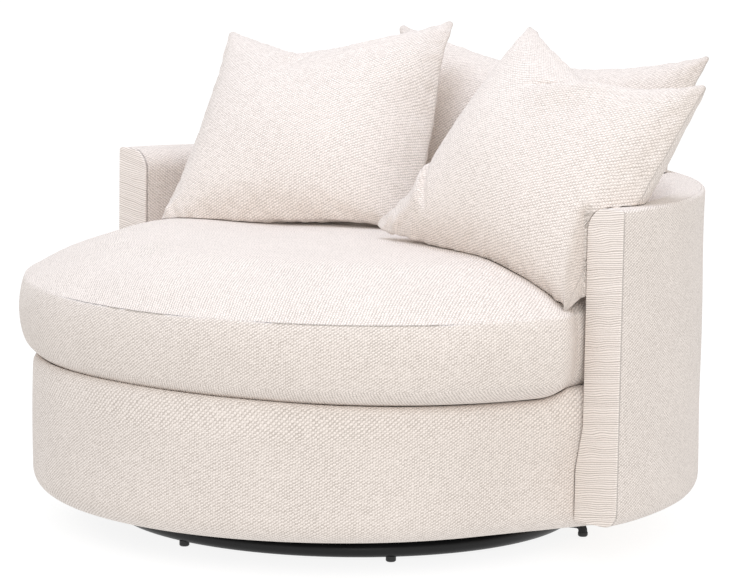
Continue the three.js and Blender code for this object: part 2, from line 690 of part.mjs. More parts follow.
// The whole back and arms as one form, a little larger, to press the pillows clear of it.
function barrelForm(grow) {
  const section = closedSection([
    [barrelInner - grow, studLow],
    ...arc(barrelInner + rimInnerRound, barrelTop - rimInnerRound, rimInnerRound + grow, 180, 90),
    ...arc(barrelRadius - rimOuterRound, barrelTop - rimOuterRound, rimOuterRound + grow, 90, 0),
    [barrelRadius + grow, studLow],
  ]);
  return solid(turned(section, barrelY)).intersect(behind(armFront - grow));
}

// A pillow is two crowned faces sewn at the edge. Its sides draw in between the corners, and a chop
// dents the top edge in a soft V.
function pillowForm(size, grow = 0) {
  const half = [size.width / 2 + grow, size.height / 2 + grow];
  const points = [];
  const faces = [];
  const dentReach = (u) => {
    const right = u > size.dentPlaceShare;
    const side = right ? 1 - size.dentPlaceShare : 1 + size.dentPlaceShare;
    const away = (Math.abs(u - size.dentPlaceShare) / side) ** (right ? size.dentSpreadPower : 1);
    return 1 - Math.sqrt(away ** 2 + pillowDentRoundShare ** 2) / Math.sqrt(1 + pillowDentRoundShare ** 2);
  };
  const surface = (u, v, side) => {
    const narrow = THREE.MathUtils.lerp(1, size.topShare, (1 + v) / 2);
    const x = half[0] * u * narrow * (1 - size.drawShare * (1 - v * v));
    const top = ((1 + v) / 2) ** 2;
    const z = half[1] * v * (1 - size.topDrawShare * (1 - u * u)) - size.dent * dentReach(u) * top;
    const full = Math.max(0, (1 - u * u) * (1 - v * v)) ** pillowFullness;
    const depth = pillowSeamThickness / 2 + grow + ((size.thickness - pillowSeamThickness) / 2) * full;
    return [x, side * depth, z];
  };
  const row = pillowGrid + 1;
  for (const side of [-1, 1]) {
    for (let j = 0; j < row; j += 1) {
      for (let i = 0; i < row; i += 1) {
        // Points crowd towards the edges, where the faces curve most.
        const [u, v] = [i, j].map((step) => -Math.cos((Math.PI * step) / pillowGrid));
        points.push(...surface(u, v, side));
      }
    }
  }
  // Two faces of four corners each, one on either side, and the seam's strip round them.
  const at = (side, i, j) => side * row * row + j * row + i;
  const patch = (a, b, c, d) => faces.push(a, b, c, a, c, d);
  const end = pillowGrid;
  for (let j = 0; j < end; j += 1) {
    for (let i = 0; i < end; i += 1) {
      patch(at(0, i, j), at(0, i + 1, j), at(0, i + 1, j + 1), at(0, i, j + 1));
      patch(at(1, i, j), at(1, i, j + 1), at(1, i + 1, j + 1), at(1, i + 1, j));
    }
    patch(at(0, j, 0), at(1, j, 0), at(1, j + 1, 0), at(0, j + 1, 0));
    patch(at(0, j, end), at(0, j + 1, end), at(1, j + 1, end), at(1, j, end));
    patch(at(0, 0, j), at(0, 0, j + 1), at(1, 0, j + 1), at(1, 0, j));
    patch(at(0, end, j), at(1, end, j), at(1, end, j + 1), at(0, end, j + 1));
  }
  const geometry = new THREE.BufferGeometry();
  geometry.setAttribute('position', new THREE.Float32BufferAttribute(points, 3));
  geometry.setIndex(faces);
  const pose = new THREE.Object3D();
  const out = barrelInner - size.inset;
  const around = inRadians(size.placeAngle);
  const turns = [-size.leanAngle, size.rollAngle, size.turnAngle].map(inRadians);
  pose.rotation.set(...turns, 'ZXY');
  pose.position.set(out * Math.cos(around), barrelY + out * Math.sin(around), crownTop + size.rise);
  pose.updateMatrix();
  return solid(geometry.applyMatrix4(pose.matrix));
}

const pressedBy = [barrelForm(padFit), solid(cushionGeometry(padFit))];
for (const [name, size] of Object.entries(pillows).reverse()) {
  const pillow = pressedBy.reduce((form, other) => form.subtract(other), pillowForm(size));
  place(body, name, geometryOf(pillow), fabric);
  pressedBy.push(pillowForm(size, padFit));
}

export default chair;
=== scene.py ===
import math

import bpy
import numpy as np
from mathutils import Matrix, Vector
from mathutils.bvhtree import BVHTree


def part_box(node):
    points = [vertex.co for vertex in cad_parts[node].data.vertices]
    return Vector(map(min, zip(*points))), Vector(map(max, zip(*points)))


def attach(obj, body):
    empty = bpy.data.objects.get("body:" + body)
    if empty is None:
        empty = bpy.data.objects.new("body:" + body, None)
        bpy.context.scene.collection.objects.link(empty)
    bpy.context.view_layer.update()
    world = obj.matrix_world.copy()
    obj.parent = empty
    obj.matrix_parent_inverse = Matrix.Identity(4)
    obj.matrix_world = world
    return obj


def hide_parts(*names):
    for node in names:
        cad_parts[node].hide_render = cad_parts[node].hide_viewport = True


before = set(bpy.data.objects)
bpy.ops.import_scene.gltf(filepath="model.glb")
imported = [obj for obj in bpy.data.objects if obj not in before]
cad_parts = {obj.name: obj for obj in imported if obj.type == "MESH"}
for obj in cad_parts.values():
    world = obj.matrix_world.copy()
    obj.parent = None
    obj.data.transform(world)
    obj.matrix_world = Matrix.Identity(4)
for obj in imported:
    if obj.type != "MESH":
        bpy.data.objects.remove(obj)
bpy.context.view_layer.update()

# The camera
# The chair is seen from its front right, a little above the seat, through a long lens, with the
# camera rolled by a degree.
camera_place, camera_aim = Vector((4.369, -4.149, 1.257)), Vector((0.037, -0.013, 0.412))
camera_lens, camera_sensor, camera_roll = 165.85, 36.0, 0.0156
camera = bpy.data.objects.new("camera", bpy.data.cameras.new("camera"))
camera.data.lens, camera.data.sensor_width = camera_lens, camera_sensor
camera_turn = (camera_aim - camera_place).to_track_quat("-Z", "Y").to_matrix()
camera_turn = camera_turn @ Matrix.Rotation(camera_roll, 3, "Z")
camera.matrix_world = Matrix.Translation(camera_place) @ camera_turn.to_4x4()
bpy.context.scene.collection.objects.link(camera)
bpy.context.scene.camera = camera


# The floor ring and its bars
# A ring of bent steel tube on small glides, crossed by a long bar and two half bars of flat tube,
# with a bent foot outside it at each end of the long bar. All of it is welded and coated black.
class Sum:
    """A number, colour or vector on a socket, so that a pattern is written as a sum."""

    def __init__(self, graph, socket):
        self.graph, self.socket = graph, socket

    def out(self, name):
        return Sum(self.graph, self.socket.node.outputs[name])

    def maths(self, operation, *values):
        return self.graph.node("ShaderNodeMath", {"operation": operation}, dict(enumerate(values)))

    def __add__(self, other):
        return self.maths("ADD", self, other)

    def __sub__(self, other):
        return self.maths("SUBTRACT", self, other)

    def __rsub__(self, other):
        return self.maths("SUBTRACT", other, self)

    def __mul__(self, other):
        return self.maths("MULTIPLY", self, other)

    def __truediv__(self, other):
        return self.maths("DIVIDE", self, other)

    def __mod__(self, other):
        return self.maths("FLOORED_MODULO", self, other)

    def __gt__(self, other):
        return self.maths("GREATER_THAN", self, other)

    __radd__, __rmul__ = __add__, __mul__


class Graph:
    """A node tree as it is put together."""

    def __init__(self, tree):
        self.tree = tree

    def node(self, kind, settings=None, sockets=None, output=0):
        made = self.tree.nodes.new(kind)
        for name, value in (settings or {}).items():
            setattr(made, name, value)
        for name, value in (sockets or {}).items():
            self.feed(made.inputs[name], value)
        return Sum(self, made.outputs[output])

    def feed(self, socket, value):
        if isinstance(value, Sum):
            self.tree.links.new(value.socket, socket)
        else:
            socket.default_value = value


class Finish(Graph):
    """A finish: a principled shader, fed by the patterns that vary over it."""

    def __init__(self, name, **fixed):
        self.material = bpy.data.materials.new(name)
        self.material.use_nodes = True
        super().__init__(self.material.node_tree)
        self.tree.nodes.clear()
        self.shader = self.tree.nodes.new("ShaderNodeBsdfPrincipled")
        output = self.tree.nodes.new("ShaderNodeOutputMaterial")
        self.tree.links.new(self.shader.outputs[0], output.inputs["Surface"])
        for socket, value in fixed.items():
            self.set(socket.replace("_", " "), value)

    def set(self, socket, value):
        self.feed(self.shader.inputs[socket], value)

    def noise(self, place, scale, detail=2.0, output="Factor", dimensions="3D"):
        sockets = {"Vector": place, "Scale": scale, "Detail": detail}
        output = 1 if output == "Color" else 0
        return self.node("ShaderNodeTexNoise", {"noise_dimensions": dimensions}, sockets, output)

    def mix(self, share, first, second):
        return self.node("ShaderNodeMix", {"data_type": "RGBA"}, {0: share, 6: first, 7: second}, 2)

    def raise_by(self, height, distance, strength=1.0):
        sockets = {"Height": height, "Distance": distance, "Strength": strength}
        self.set("Normal", self.node("ShaderNodeBump", {}, sockets))

    def vary(self, pattern, first, second, roughness, rougher):
        """Lets a pattern carry the colour from the first to the second, and the roughness with it."""
        self.set("Base Color", self.mix(pattern, first, second))
        self.set("Roughness", roughness + pattern * rougher)

    def object_place(self):
        return self.node("ShaderNodeTexCoord").out("Object")


def dress(finish, *names):
    """Gives CAD nodes their finish."""
    for name in names:
        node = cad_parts[name]
        node.data.materials.clear()
        node.data.materials.append(finish.material)


def takes_over(piece, node, body):
    """Puts a piece in the place of a CAD node, on the node's body."""
    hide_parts(node)
    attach(piece, body)


class Form(Graph):
    """A shape that geometry nodes make, with named sizes."""

    def __init__(self, name, **sizes):
        super().__init__(bpy.data.node_groups.new(name, "GeometryNodeTree"))
        self.name, self.sizes, self.size = name, sizes, {}
        self.tree.interface.new_socket("Geometry", in_out="OUTPUT", socket_type="NodeSocketGeometry")
        self.sockets = {
            size: self.tree.interface.new_socket(size, in_out="INPUT", socket_type="NodeSocketFloat")
            for size in sizes
        }
        given = self.tree.nodes.new("NodeGroupInput")
        for size in sizes:
            self.size[size] = Sum(self, given.outputs[size])

    def ring(self, radius, steps):
        sockets = {"Resolution": steps, "Radius": radius}
        return self.node("GeometryNodeCurvePrimitiveCircle", {}, sockets)

    def made(self, geometry, finish):
        """The shape as a plain mesh object."""
        smooth = self.node("GeometryNodeSetShadeSmooth", {}, {0: geometry})
        real = self.node("GeometryNodeRealizeInstances", {}, {0: smooth})
        covered = self.node("GeometryNodeSetMaterial", {}, {0: real, "Material": finish.material})
        self.tree.links.new(covered.socket, self.tree.nodes.new("NodeGroupOutput").inputs[0])
        holder = bpy.data.objects.new(self.name, bpy.data.meshes.new(self.name))
        bpy.context.scene.collection.objects.link(holder)
        modifier = holder.modifiers.new("form", "NODES")
        modifier.node_group = self.tree
        for size, value in self.sizes.items():
            modifier[self.sockets[size].identifier] = value
        bpy.context.view_layer.update()
        seen = holder.evaluated_get(bpy.context.evaluated_depsgraph_get())
        mesh = bpy.data.meshes.new_from_object(seen)
        holder.modifiers.clear()
        holder.data = mesh
        return holder


black_steel = Finish("black_coated_steel", Metallic=0.0, Specular_IOR_Level=0.25, Coat_Weight=0.06)
steel_place = black_steel.object_place()
steel_cloud = black_steel.noise(steel_place, scale=14.0, detail=3.0)
steel_black, steel_worn = (0.004, 0.004, 0.004, 1), (0.012, 0.012, 0.013, 1)
black_steel.vary(steel_cloud, steel_black, steel_worn, roughness=0.3, rougher=0.16)
steel_grain = black_steel.noise(steel_place, scale=900.0, detail=2.0)
black_steel.raise_by(steel_grain, distance=0.00012, strength=0.35)

ring_low, ring_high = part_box("floor_ring")
ring_tube = (ring_high[2] - ring_low[2]) / 2
swivel_y = (ring_low[1] + ring_high[1]) / 2
ring = Form("steel_ring", ring_radius=(ring_high[0] - ring_low[0]) / 2 - ring_tube, tube_radius=ring_tube,
            setback=swivel_y, height=ring_low[2] + ring_tube)
ring_steps, tube_steps = 220, 28
ring_sockets = {"Curve": ring.ring(ring.size["ring_radius"], ring_steps),
                "Profile Curve": ring.ring(ring.size["tube_radius"], tube_steps)}
ring_pipe = ring.node("GeometryNodeCurveToMesh", {}, ring_sockets)
ring_lift = ring.node("ShaderNodeCombineXYZ", {}, {"Y": ring.size["setback"], "Z": ring.size["height"]})
ring_pipe = ring.node("GeometryNodeTransform", {}, {0: ring_pipe, "Translation": ring_lift})
takes_over(ring.made(ring_pipe, black_steel), "floor_ring", "swivel_base")
dress(black_steel, "cross_bar", "half_bar_front", "half_bar_back", "outrigger_1", "outrigger_2",
      "lower_plate", "upper_plate")

# Glides and tips
# Black plastic glides under the ring and a plastic tip on each bent foot keep the steel off the
# floor. They are moulded, a little rough, and scuffed where they slide.
black_plastic = Finish("black_plastic", Metallic=0.0)
plastic_scuffs = black_plastic.noise(black_plastic.object_place(), scale=160.0, detail=4.0)
plastic_black, plastic_scuffed = (0.006, 0.006, 0.006, 1), (0.02, 0.02, 0.02, 1)
black_plastic.vary(plastic_scuffs, plastic_black, plastic_scuffed, roughness=0.42, rougher=0.25)
black_plastic.raise_by(plastic_scuffs, distance=0.0002, strength=0.4)
dress(black_plastic, "glide_1", "glide_2", "glide_3", "glide_4", "outrigger_tip_1", "outrigger_tip_2")

# The swivel
# Two pressed steel plates carry a race each, and a cage of balls rolls between them. The races,
# balls and bolts are zinc plated, and the plates are coated black as the ring is.
bright_steel = Finish("zinc_plated_steel", Metallic=0.95)
bright_cloud = bright_steel.noise(bright_steel.object_place(), scale=60.0, detail=3.0)
zinc_dull, zinc_bright = (0.42, 0.43, 0.44, 1), (0.62, 0.62, 0.6, 1)
bright_steel.vary(bright_cloud, zinc_dull, zinc_bright, roughness=0.28, rougher=0.2)
dress(bright_steel, "lower_race", "upper_race",
      *(f"lower_bolt_{i}" for i in range(1, 5)), *(f"upper_bolt_{i}" for i in range(1, 5)))
cage_low, cage_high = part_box("ball_cage")
cage = Form("cage_of_balls", ball_path=0.082, ball_radius=0.00395, cage_path=0.076, cage_width=0.028,
            cage_thickness=0.0016, setback=swivel_y, height=(cage_low[2] + cage_high[2]) / 2)
ball_count, cage_steps = 12, 96
ball_circle = {"Vertices": ball_count, "Radius": cage.size["ball_path"]}
ball_sphere = {"Segments": 24, "Rings": 14, "Radius": cage.size["ball_radius"]}
cage_balls = cage.node("GeometryNodeInstanceOnPoints", {}, {
    "Points": cage.node("GeometryNodeMeshCircle", {}, ball_circle),
    "Instance": cage.node("GeometryNodeMeshUVSphere", {}, ball_sphere),
})
cage_strip = cage.node("GeometryNodeCurvePrimitiveQuadrilateral", {}, {
    "Width": cage.size["cage_thickness"], "Height": cage.size["cage_width"]})
cage_plate = cage.node("GeometryNodeCurveToMesh", {}, {
    "Curve": cage.ring(cage.size["cage_path"], cage_steps), "Profile Curve": cage_strip})
cage_join = cage.tree.nodes.new("GeometryNodeJoinGeometry")
cage.tree.links.new(cage_balls.socket, cage_join.inputs[0])
cage.tree.links.new(cage_plate.socket, cage_join.inputs[0])
cage_lift = cage.node("ShaderNodeCombineXYZ", {}, {"Y": cage.size["setback"], "Z": cage.size["height"]})
cage_place = {0: Sum(cage, cage_join.outputs[0]), "Translation": cage_lift}
ball_cage = cage.made(cage.node("GeometryNodeTransform", {}, cage_place), bright_steel)
takes_over(ball_cage, "ball_cage", "swivel_base")

# The timber frame
# A round plywood panel under the seat, a board that carries the back, softwood studs and rails, and
# two thin bent skins of hardboard that give the back its round.
timber = Finish("sawn_timber", Metallic=0.0)
timber_stretch = {"Vector": timber.object_place(), "Scale": (3.0, 40.0, 40.0)}
timber_grain = timber.noise(timber.node("ShaderNodeMapping", {}, timber_stretch), scale=1.4, detail=5.0)
timber_brown, timber_pale = (0.36, 0.24, 0.13, 1), (0.66, 0.5, 0.31, 1)
timber.vary(timber_grain, timber_brown, timber_pale, roughness=0.6, rougher=0.25)
timber.raise_by(timber_grain, distance=0.0006, strength=0.5)
dress(timber, "seat_panel", "barrel_panel", "seat_rail", "barrel_rail", "arm_post_right", "arm_post_left",
      *(f"seat_stud_{i}" for i in range(1, 5)), *(f"barrel_stud_{i}" for i in range(1, 4)))
hardboard = Finish("hardboard", Metallic=0.0)
board_flecks = hardboard.noise(hardboard.object_place(), scale=420.0, detail=4.0)
board_dark, board_pale = (0.16, 0.095, 0.05, 1), (0.3, 0.19, 0.11, 1)
hardboard.vary(board_flecks, board_dark, board_pale, roughness=0.55, rougher=0.2)
dress(hardboard, "inner_skin", "outer_skin")

# The webbing, the deck pad and the dust cloth
# Elastic webbing is stretched over the seat rail under a sheet of foam, and a black dust cloth is
# stapled under the drum.
webbing = Finish("elastic_webbing", Metallic=0.0)
webbing_wave = {"Vector": webbing.object_place(), "Scale": 240.0}
webbing_ribs = webbing.node("ShaderNodeTexWave", {"bands_direction": "DIAGONAL"}, webbing_wave, "Fac")
webbing_black, webbing_grey = (0.02, 0.02, 0.022, 1), (0.075, 0.075, 0.08, 1)
webbing.vary(webbing_ribs, webbing_black, webbing_grey, roughness=0.85, rougher=0.1)
webbing.raise_by(webbing_ribs, distance=0.0005, strength=0.6)
dress(webbing, *(f"seat_strap_{i}" for i in range(1, 4)), *(f"cross_strap_{i}" for i in range(1, 4)))
foam = Finish("deck_foam", Metallic=0.0)
foam_cells = foam.noise(foam.object_place(), scale=1100.0, detail=3.0)
foam_yellow, foam_cream = (0.5, 0.47, 0.4, 1), (0.78, 0.75, 0.68, 1)
foam.vary(foam_cells, foam_yellow, foam_cream, roughness=0.9, rougher=0.08)
foam.raise_by(foam_cells, distance=0.0008, strength=0.6)
dress(foam, "deck_pad")
dust_cloth = Finish("dust_cloth", Metallic=0.0)
dust_fibres = dust_cloth.noise(dust_cloth.object_place(), scale=700.0, detail=5.0)
dust_black, dust_grey = (0.008, 0.008, 0.009, 1), (0.04, 0.04, 0.042, 1)
dust_cloth.vary(dust_fibres, dust_black, dust_grey, roughness=0.85, rougher=0.1)
dust_cloth.raise_by(dust_fibres, distance=0.0004, strength=0.5)
dress(dust_cloth, "dust_cover")

# The drum's cover
# The seat stands on a padded drum. Its cover is one band of the chunky cream cloth, pulled over the
# top edge and stapled under the frame. The arms' feet press on it at both sides.
# The cloth's colour runs from a painted shade, for the hollows between the yarns, to the cream of the yarns'
# crests lightened with painted light.
cloth_shaded_hollow, cloth_lit_crest = (0.29, 0.24, 0.20, 1), (0.955, 0.868, 0.805, 1)
warp_pitch, weft_pitch = 0.0044, 0.00275
warp_wander, weft_wander = 1.0, 1.1
tone_share, slub_share, fuzz_share, cloud_share = 0.22, 0.24, 0.25, 0.1
# These shares set how much painted shade and painted light the yarns' relief and their crossings give.
hollow_shade, height_share, warp_lit_share, twist_share = 0.33, 0.46, 0.26, 0.13
slub_rise, fuzz_rise, cloth_roughness, crest_polish = 0.4, 0.25, 0.97, 0.08


def woven_cloth(name):
    """Thick cream yarns in a plain weave. The hollows between the yarns and the yarn that lies under at each
    crossing are darkened with painted shade, and the crests are lightened with painted light. The weave
    follows the cloth's own place, in metres.
    """
    cloth = Finish(name, Metallic=0.0, Sheen_Weight=0.2, Sheen_Roughness=0.6, Specular_IOR_Level=0.25)
    place = cloth.node("ShaderNodeUVMap", {"uv_map": "cloth"})
    wander = cloth.noise(place, scale=75.0, output="Color", dimensions="2D")
    wander_across = cloth.node("ShaderNodeSeparateXYZ", {}, {"Vector": wander})
    wander_along = wander_across.out("Y")
    across = cloth.node("ShaderNodeSeparateXYZ", {}, {"Vector": place})
    along = across.out("Y") / weft_pitch + (wander_along - 0.5) * weft_wander
    across = across / warp_pitch + (wander_across - 0.5) * warp_wander
    warp_number, weft_number = across.maths("FLOOR", across), along.maths("FLOOR", along)
    in_warp, in_weft = across - warp_number - 0.5, along - weft_number - 0.5
    # At every crossing one yarn lies over the other, and the two take turns.
    over = 1.0 - ((warp_number + weft_number) % 2.0) * 2.0
    warp_lift = over * in_weft.maths("COSINE", in_weft * math.pi)
    weft_lift = over * in_warp.maths("COSINE", in_warp * math.pi)
    warp = 0.5 - in_warp * in_warp * 2.0 + warp_lift * 0.5
    weft = 0.5 - in_weft * in_weft * 2.0 - weft_lift * 0.5
    height = warp.maths("MAXIMUM", warp, weft)
    on_top = warp > weft
    twist = across.maths("COSINE", (across - along) * math.pi)
    crossing = cloth.node("ShaderNodeCombineXYZ", {}, {"X": warp_number, "Y": weft_number})
    tone = cloth.node("ShaderNodeTexWhiteNoise", {"noise_dimensions": "2D"}, {"Vector": crossing})
    slubs = cloth.noise(place, scale=320.0, detail=3.0, dimensions="2D")
    fuzz = cloth.noise(place, scale=2600.0, dimensions="2D")
    cloud = cloth.noise(place, scale=7.0, dimensions="2D")
    uneven = (tone - 0.5) * tone_share + (slubs - 0.5) * slub_share
    uneven = uneven + (fuzz - 0.5) * fuzz_share + (cloud - 0.5) * cloud_share
    # Painted shade and painted light: the colour lightens with the yarns' height and where the warp lies on
    # top. The diagonal hatch and the uneven tone are the cloth's own.
    shade = hollow_shade + height * height_share + on_top * warp_lit_share + twist * twist_share + uneven
    shade = cloth.node("ShaderNodeClamp", {}, {"Value": shade})
    cloth.set("Base Color", cloth.mix(shade, cloth_shaded_hollow, cloth_lit_crest))
    cloth.set("Roughness", cloth_roughness - height * crest_polish)
    yarns = height + (slubs - 0.5) * slub_rise + (fuzz - 0.5) * fuzz_rise
    cloth.raise_by(yarns, distance=0.0010, strength=0.7)
    return cloth


cover_cloth = woven_cloth("cream_cover_cloth")


def rounded(corners, step):
    """A closed line through corners (x, z, radius), each rounded, with points about a step apart."""
    line = []
    for k, (x, z, radius) in enumerate(corners):
        here = np.array((x, z))
        if radius == 0:
            line.append(here)
            continue
        before, after = (np.array(corners[n % len(corners)][:2]) - here for n in (k - 1, k + 1))
        before, after = before / np.linalg.norm(before), after / np.linalg.norm(after)
        half = math.acos(float(np.clip(before @ after, -1, 1))) / 2
        middle = (before + after) / np.linalg.norm(before + after)
        centre = here + middle * radius / math.sin(half)
        first = here + before * radius / math.tan(half) - centre
        last = here + after * radius / math.tan(half) - centre
        start = math.atan2(first[1], first[0])
        sweep = (math.atan2(last[1], last[0]) - start + math.pi) % (2 * math.pi) - math.pi
        steps = max(3, math.ceil(abs(sweep) * radius / min(step, radius / 3)))
        for n in range(steps + 1):
            angle = start + sweep * n / steps
            line.append(centre + radius * np.array((math.cos(angle), math.sin(angle))))
    line.append(line[0])
    spaced = [line[0]]
    for first, last in zip(line, line[1:]):
        parts = max(1, math.ceil(np.linalg.norm(last - first) / step))
        spaced += [first + (last - first) * n / parts for n in range(1, parts + 1)]
    return np.array(spaced)


def lengths(line):
    """How far along a line each of its points lies."""
    return np.concatenate(([0.0], np.cumsum(np.linalg.norm(np.diff(line, axis=0), axis=1))))


def smooth_share(value, start, end):
    """0 before the start, 1 past the end, and a soft rise between."""
    share = np.clip((value - start) / (end - start), 0, 1)
    return share * share * (3 - 2 * share)


def plain(faces):
    """Faces as lists of plain whole numbers."""
    return [list(map(int, face)) for face in faces]


def mesh_piece(name, points, faces, places, finish):
    """A smooth mesh object, with the cloth's own place at each corner of its faces."""
    mesh = bpy.data.meshes.new(name)
    mesh.from_pydata(np.asarray(points, float).tolist(), [], plain(faces))
    layer = mesh.uv_layers.new(name="cloth")
    layer.data.foreach_set("uv", np.asarray(places, np.float32).ravel())
    mesh.polygons.foreach_set("use_smooth", [True] * len(mesh.polygons))
    mesh.materials.append(finish.material)
    piece = bpy.data.objects.new(name, mesh)
    bpy.context.scene.collection.objects.link(piece)
    return piece


def slack(points, size, depth, seed):
    """A soft unevenness of the padding: a height for each point, made of waves of about that size."""
    waves, shortest, longest = 9, 0.7, 1.5
    chance = np.random.default_rng(seed)
    total = np.zeros(len(points))
    for _ in range(waves):
        way = chance.normal(size=3)
        way = way / np.linalg.norm(way) * 2 * math.pi / (size * chance.uniform(shortest, longest))
        total += np.sin(points @ way + chance.uniform(0, 2 * math.pi))
    return total * depth / math.sqrt(waves)


# A tiny number keeps a division away from nought, and is the leeway where heights are compared.
tiny = 1e-9


def point_normals(points, faces):
    """The outward way at each point of quads."""
    way = np.cross(points[faces[:, 2]] - points[faces[:, 0]], points[faces[:, 3]] - points[faces[:, 1]])
    total = np.zeros_like(points)
    for corner in range(4):
        np.add.at(total, faces[:, corner], way)
    return total / np.maximum(np.linalg.norm(total, axis=1), tiny)[:, None]


def grid_quads(rows, columns):
    """The corners of each quad of a grid, as row and column numbers."""
    row, column = (n.ravel() for n in np.meshgrid(np.arange(rows - 1), np.arange(columns - 1), indexing="ij"))
    return np.stack((row, row, row + 1, row + 1), 1), np.stack((column, column + 1, column + 1, column), 1)


def rolled_in(away, roll):
    """How far back a rolled edge lies, at each distance away from it."""
    return roll - np.sqrt(np.maximum(0, roll ** 2 - np.maximum(0, roll - away) ** 2))


roll_shares = np.array([0, 0.15, 0.4, 0.8, 1.4])


def turned_cover(name, section, centre, ends, columns, roll, waves, shaped=None):
    """A padded cover: a closed section turned about an upright axis from one end to the other, then
    shaped, with both ends rolled in."""
    section = np.asarray(section)
    rows = len(section) - 1
    widest = section[:, 0].max()
    arc = widest * abs(np.subtract(*ends(widest)))
    edge = roll_shares * roll / arc
    middle = np.linspace(0, 1, columns)
    middle = middle[(middle > 2 * edge[-1]) & (middle < 1 - 2 * edge[-1])]
    reach = np.concatenate((edge, middle, 1 - edge[::-1]))
    radius = section[:rows, :1]
    start, end = ends(radius)
    angle = start + (end - start) * reach
    height = np.repeat(section[:rows, 1:], len(reach), 1)
    points = np.stack((radius * np.cos(angle), centre + radius * np.sin(angle), height), 2)
    if shaped:
        points = shaped(points, radius)
    points = points.reshape(-1, 3)
    row, column = grid_quads(rows + 1, len(reach))
    quads = (row % rows) * len(reach) + column
    rolled = rolled_in(np.minimum(reach, 1 - reach) * arc, roll)
    points = points + point_normals(points, quads) * (waves(points) - np.tile(rolled, rows))[:, None]
    along = lengths(section)
    places = np.stack((reach[column] * arc, along[row]), 2)
    first = np.arange(rows) * len(reach)
    lids = [first.tolist(), (first + len(reach) - 1)[::-1].tolist()]
    places = np.concatenate((places.reshape(-1, 2), section[:rows], section[:rows][::-1]))
    return mesh_piece(name, points, quads.tolist() + lids, places, cover_cloth)


# A gap is left between neighbours. Places that lie within a hair of each other count as one.
gap, hair = 0.0003, 0.001
drum_low, drum_high = (corner[2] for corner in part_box("seat_base_cover"))
deck_low, deck_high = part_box("deck_pad")
drum_centre, drum_frame = (deck_low[1] + deck_high[1]) / 2, (deck_high[0] - deck_low[0]) / 2 + gap
drum_radius, drum_back = drum_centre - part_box("seat_base_cover")[0][1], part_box("seat_base_cover")[1][1]
tuck_width, wrap_thickness = 0.030, 0.0047
drum_foot_round, drum_top_round, drum_columns, drum_roll = 0.040, 0.019, 460, 0.003
drum_swell, swell_reach, foot_clear = 0.008, 0.16, 0.0012
drum_belly, calm_reach, wall_start, wall_end = 0.0022, 0.06, 0.510, 0.530
padding_clear, padding_rise, padding_depth = 0.0012, 0.022, 0.05
arm_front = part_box("arm_front_right")[0][1]
barrel_centre, barrel_inside, barrel_foot = -0.052, 0.577, 0.562
taper_low, taper_high = drum_high - 0.120, drum_high - 0.045
foot_place = Vector((barrel_foot - gap, arm_front - drum_centre))
leave_angle = math.atan2(foot_place.y, foot_place.x) - math.acos(drum_radius / foot_place.length)
drum_section = rounded([
    (drum_frame - tuck_width, drum_low, 0), (drum_radius, drum_low, drum_foot_round),
    (drum_radius, drum_high, drum_top_round), (drum_frame, drum_high, 0),
    (drum_frame, drum_low + wrap_thickness, 0), (drum_frame - tuck_width, drum_low + wrap_thickness, 0),
], step=0.006)

# The seat cushion's sizes stand here already, because the drum's padding meets its underside.
cushion_radius, cushion_setback, cushion_bulge, side_bulge, side_gap = 0.597, 0.053, 0.009, 0.002, 0.010
low_seam, high_seam, cushion_crown, cushion_belly = 0.3223, 0.4343, 0.070, 0.037
squeeze_start, squeeze_end, crown_power, belly_power = -4.0, 3.0, 8, 20


def cushion_seam(angle):
    """The seam's radius and the boxing's bulge at each angle about the barrel's centre."""
    round_front = np.sqrt(cushion_radius ** 2 - (cushion_setback * np.cos(angle)) ** 2)
    round_front = round_front + cushion_setback * np.sin(angle)
    share = smooth_share(np.degrees(np.arcsin(np.sin(angle))), squeeze_start, squeeze_end)
    radius = round_front + (barrel_inside - side_gap - round_front) * share
    return radius, cushion_bulge + (side_bulge - cushion_bulge) * share


def cushion_underside(x, y):
    """The height of the seat cushion's lower panel over each place in plan."""
    seam, _ = cushion_seam(np.arctan2(y - barrel_centre, x))
    share = np.minimum(np.hypot(x, y - barrel_centre) / seam, 1)
    return low_seam - cushion_belly * (1 - share ** belly_power)


def drum_ends(radius):
    """The angles at which the band starts and ends, on the line of its back edge."""
    angle = np.arcsin((drum_back - drum_centre) / radius)
    return math.pi - angle, 2 * math.pi + angle


def drum_band(points, radius):
    """Lets the band leave the round front along tangents and be pressed in by the arms' feet, and its
    padding stand up at the top until it meets the seat cushion."""
    sideways = np.hypot(points[..., 0], points[..., 1] - drum_centre)
    past = np.clip(np.arcsin((points[..., 1] - drum_centre) / sideways) - leave_angle, 0, math.pi / 4)
    near = smooth_share(points[..., 1], arm_front - swell_reach, arm_front)
    swell = drum_swell * near * smooth_share(points[..., 2], taper_low, taper_high)
    out = np.where(radius > drum_frame + hair, drum_radius / np.cos(past) - drum_radius + swell, 0)
    scale = 1 + out / sideways
    x, y = points[..., 0] * scale, drum_centre + (points[..., 1] - drum_centre) * scale
    limit = np.interp(points[..., 2], (taper_low, taper_high), (barrel_foot, barrel_inside)) - foot_clear
    beside = np.hypot(x, y - barrel_centre)
    press = np.where((y > arm_front - hair) & (beside > limit), limit / beside, 1)
    x, y = x * press, np.minimum(barrel_centre + (y - barrel_centre) * press, drum_back)
    rise = np.clip(cushion_underside(x, y) - padding_clear - drum_high, 0, padding_rise)
    rise = rise * smooth_share(points[..., 2], drum_high - padding_depth, drum_high)
    return np.stack((x, y, points[..., 2] + rise), 2)


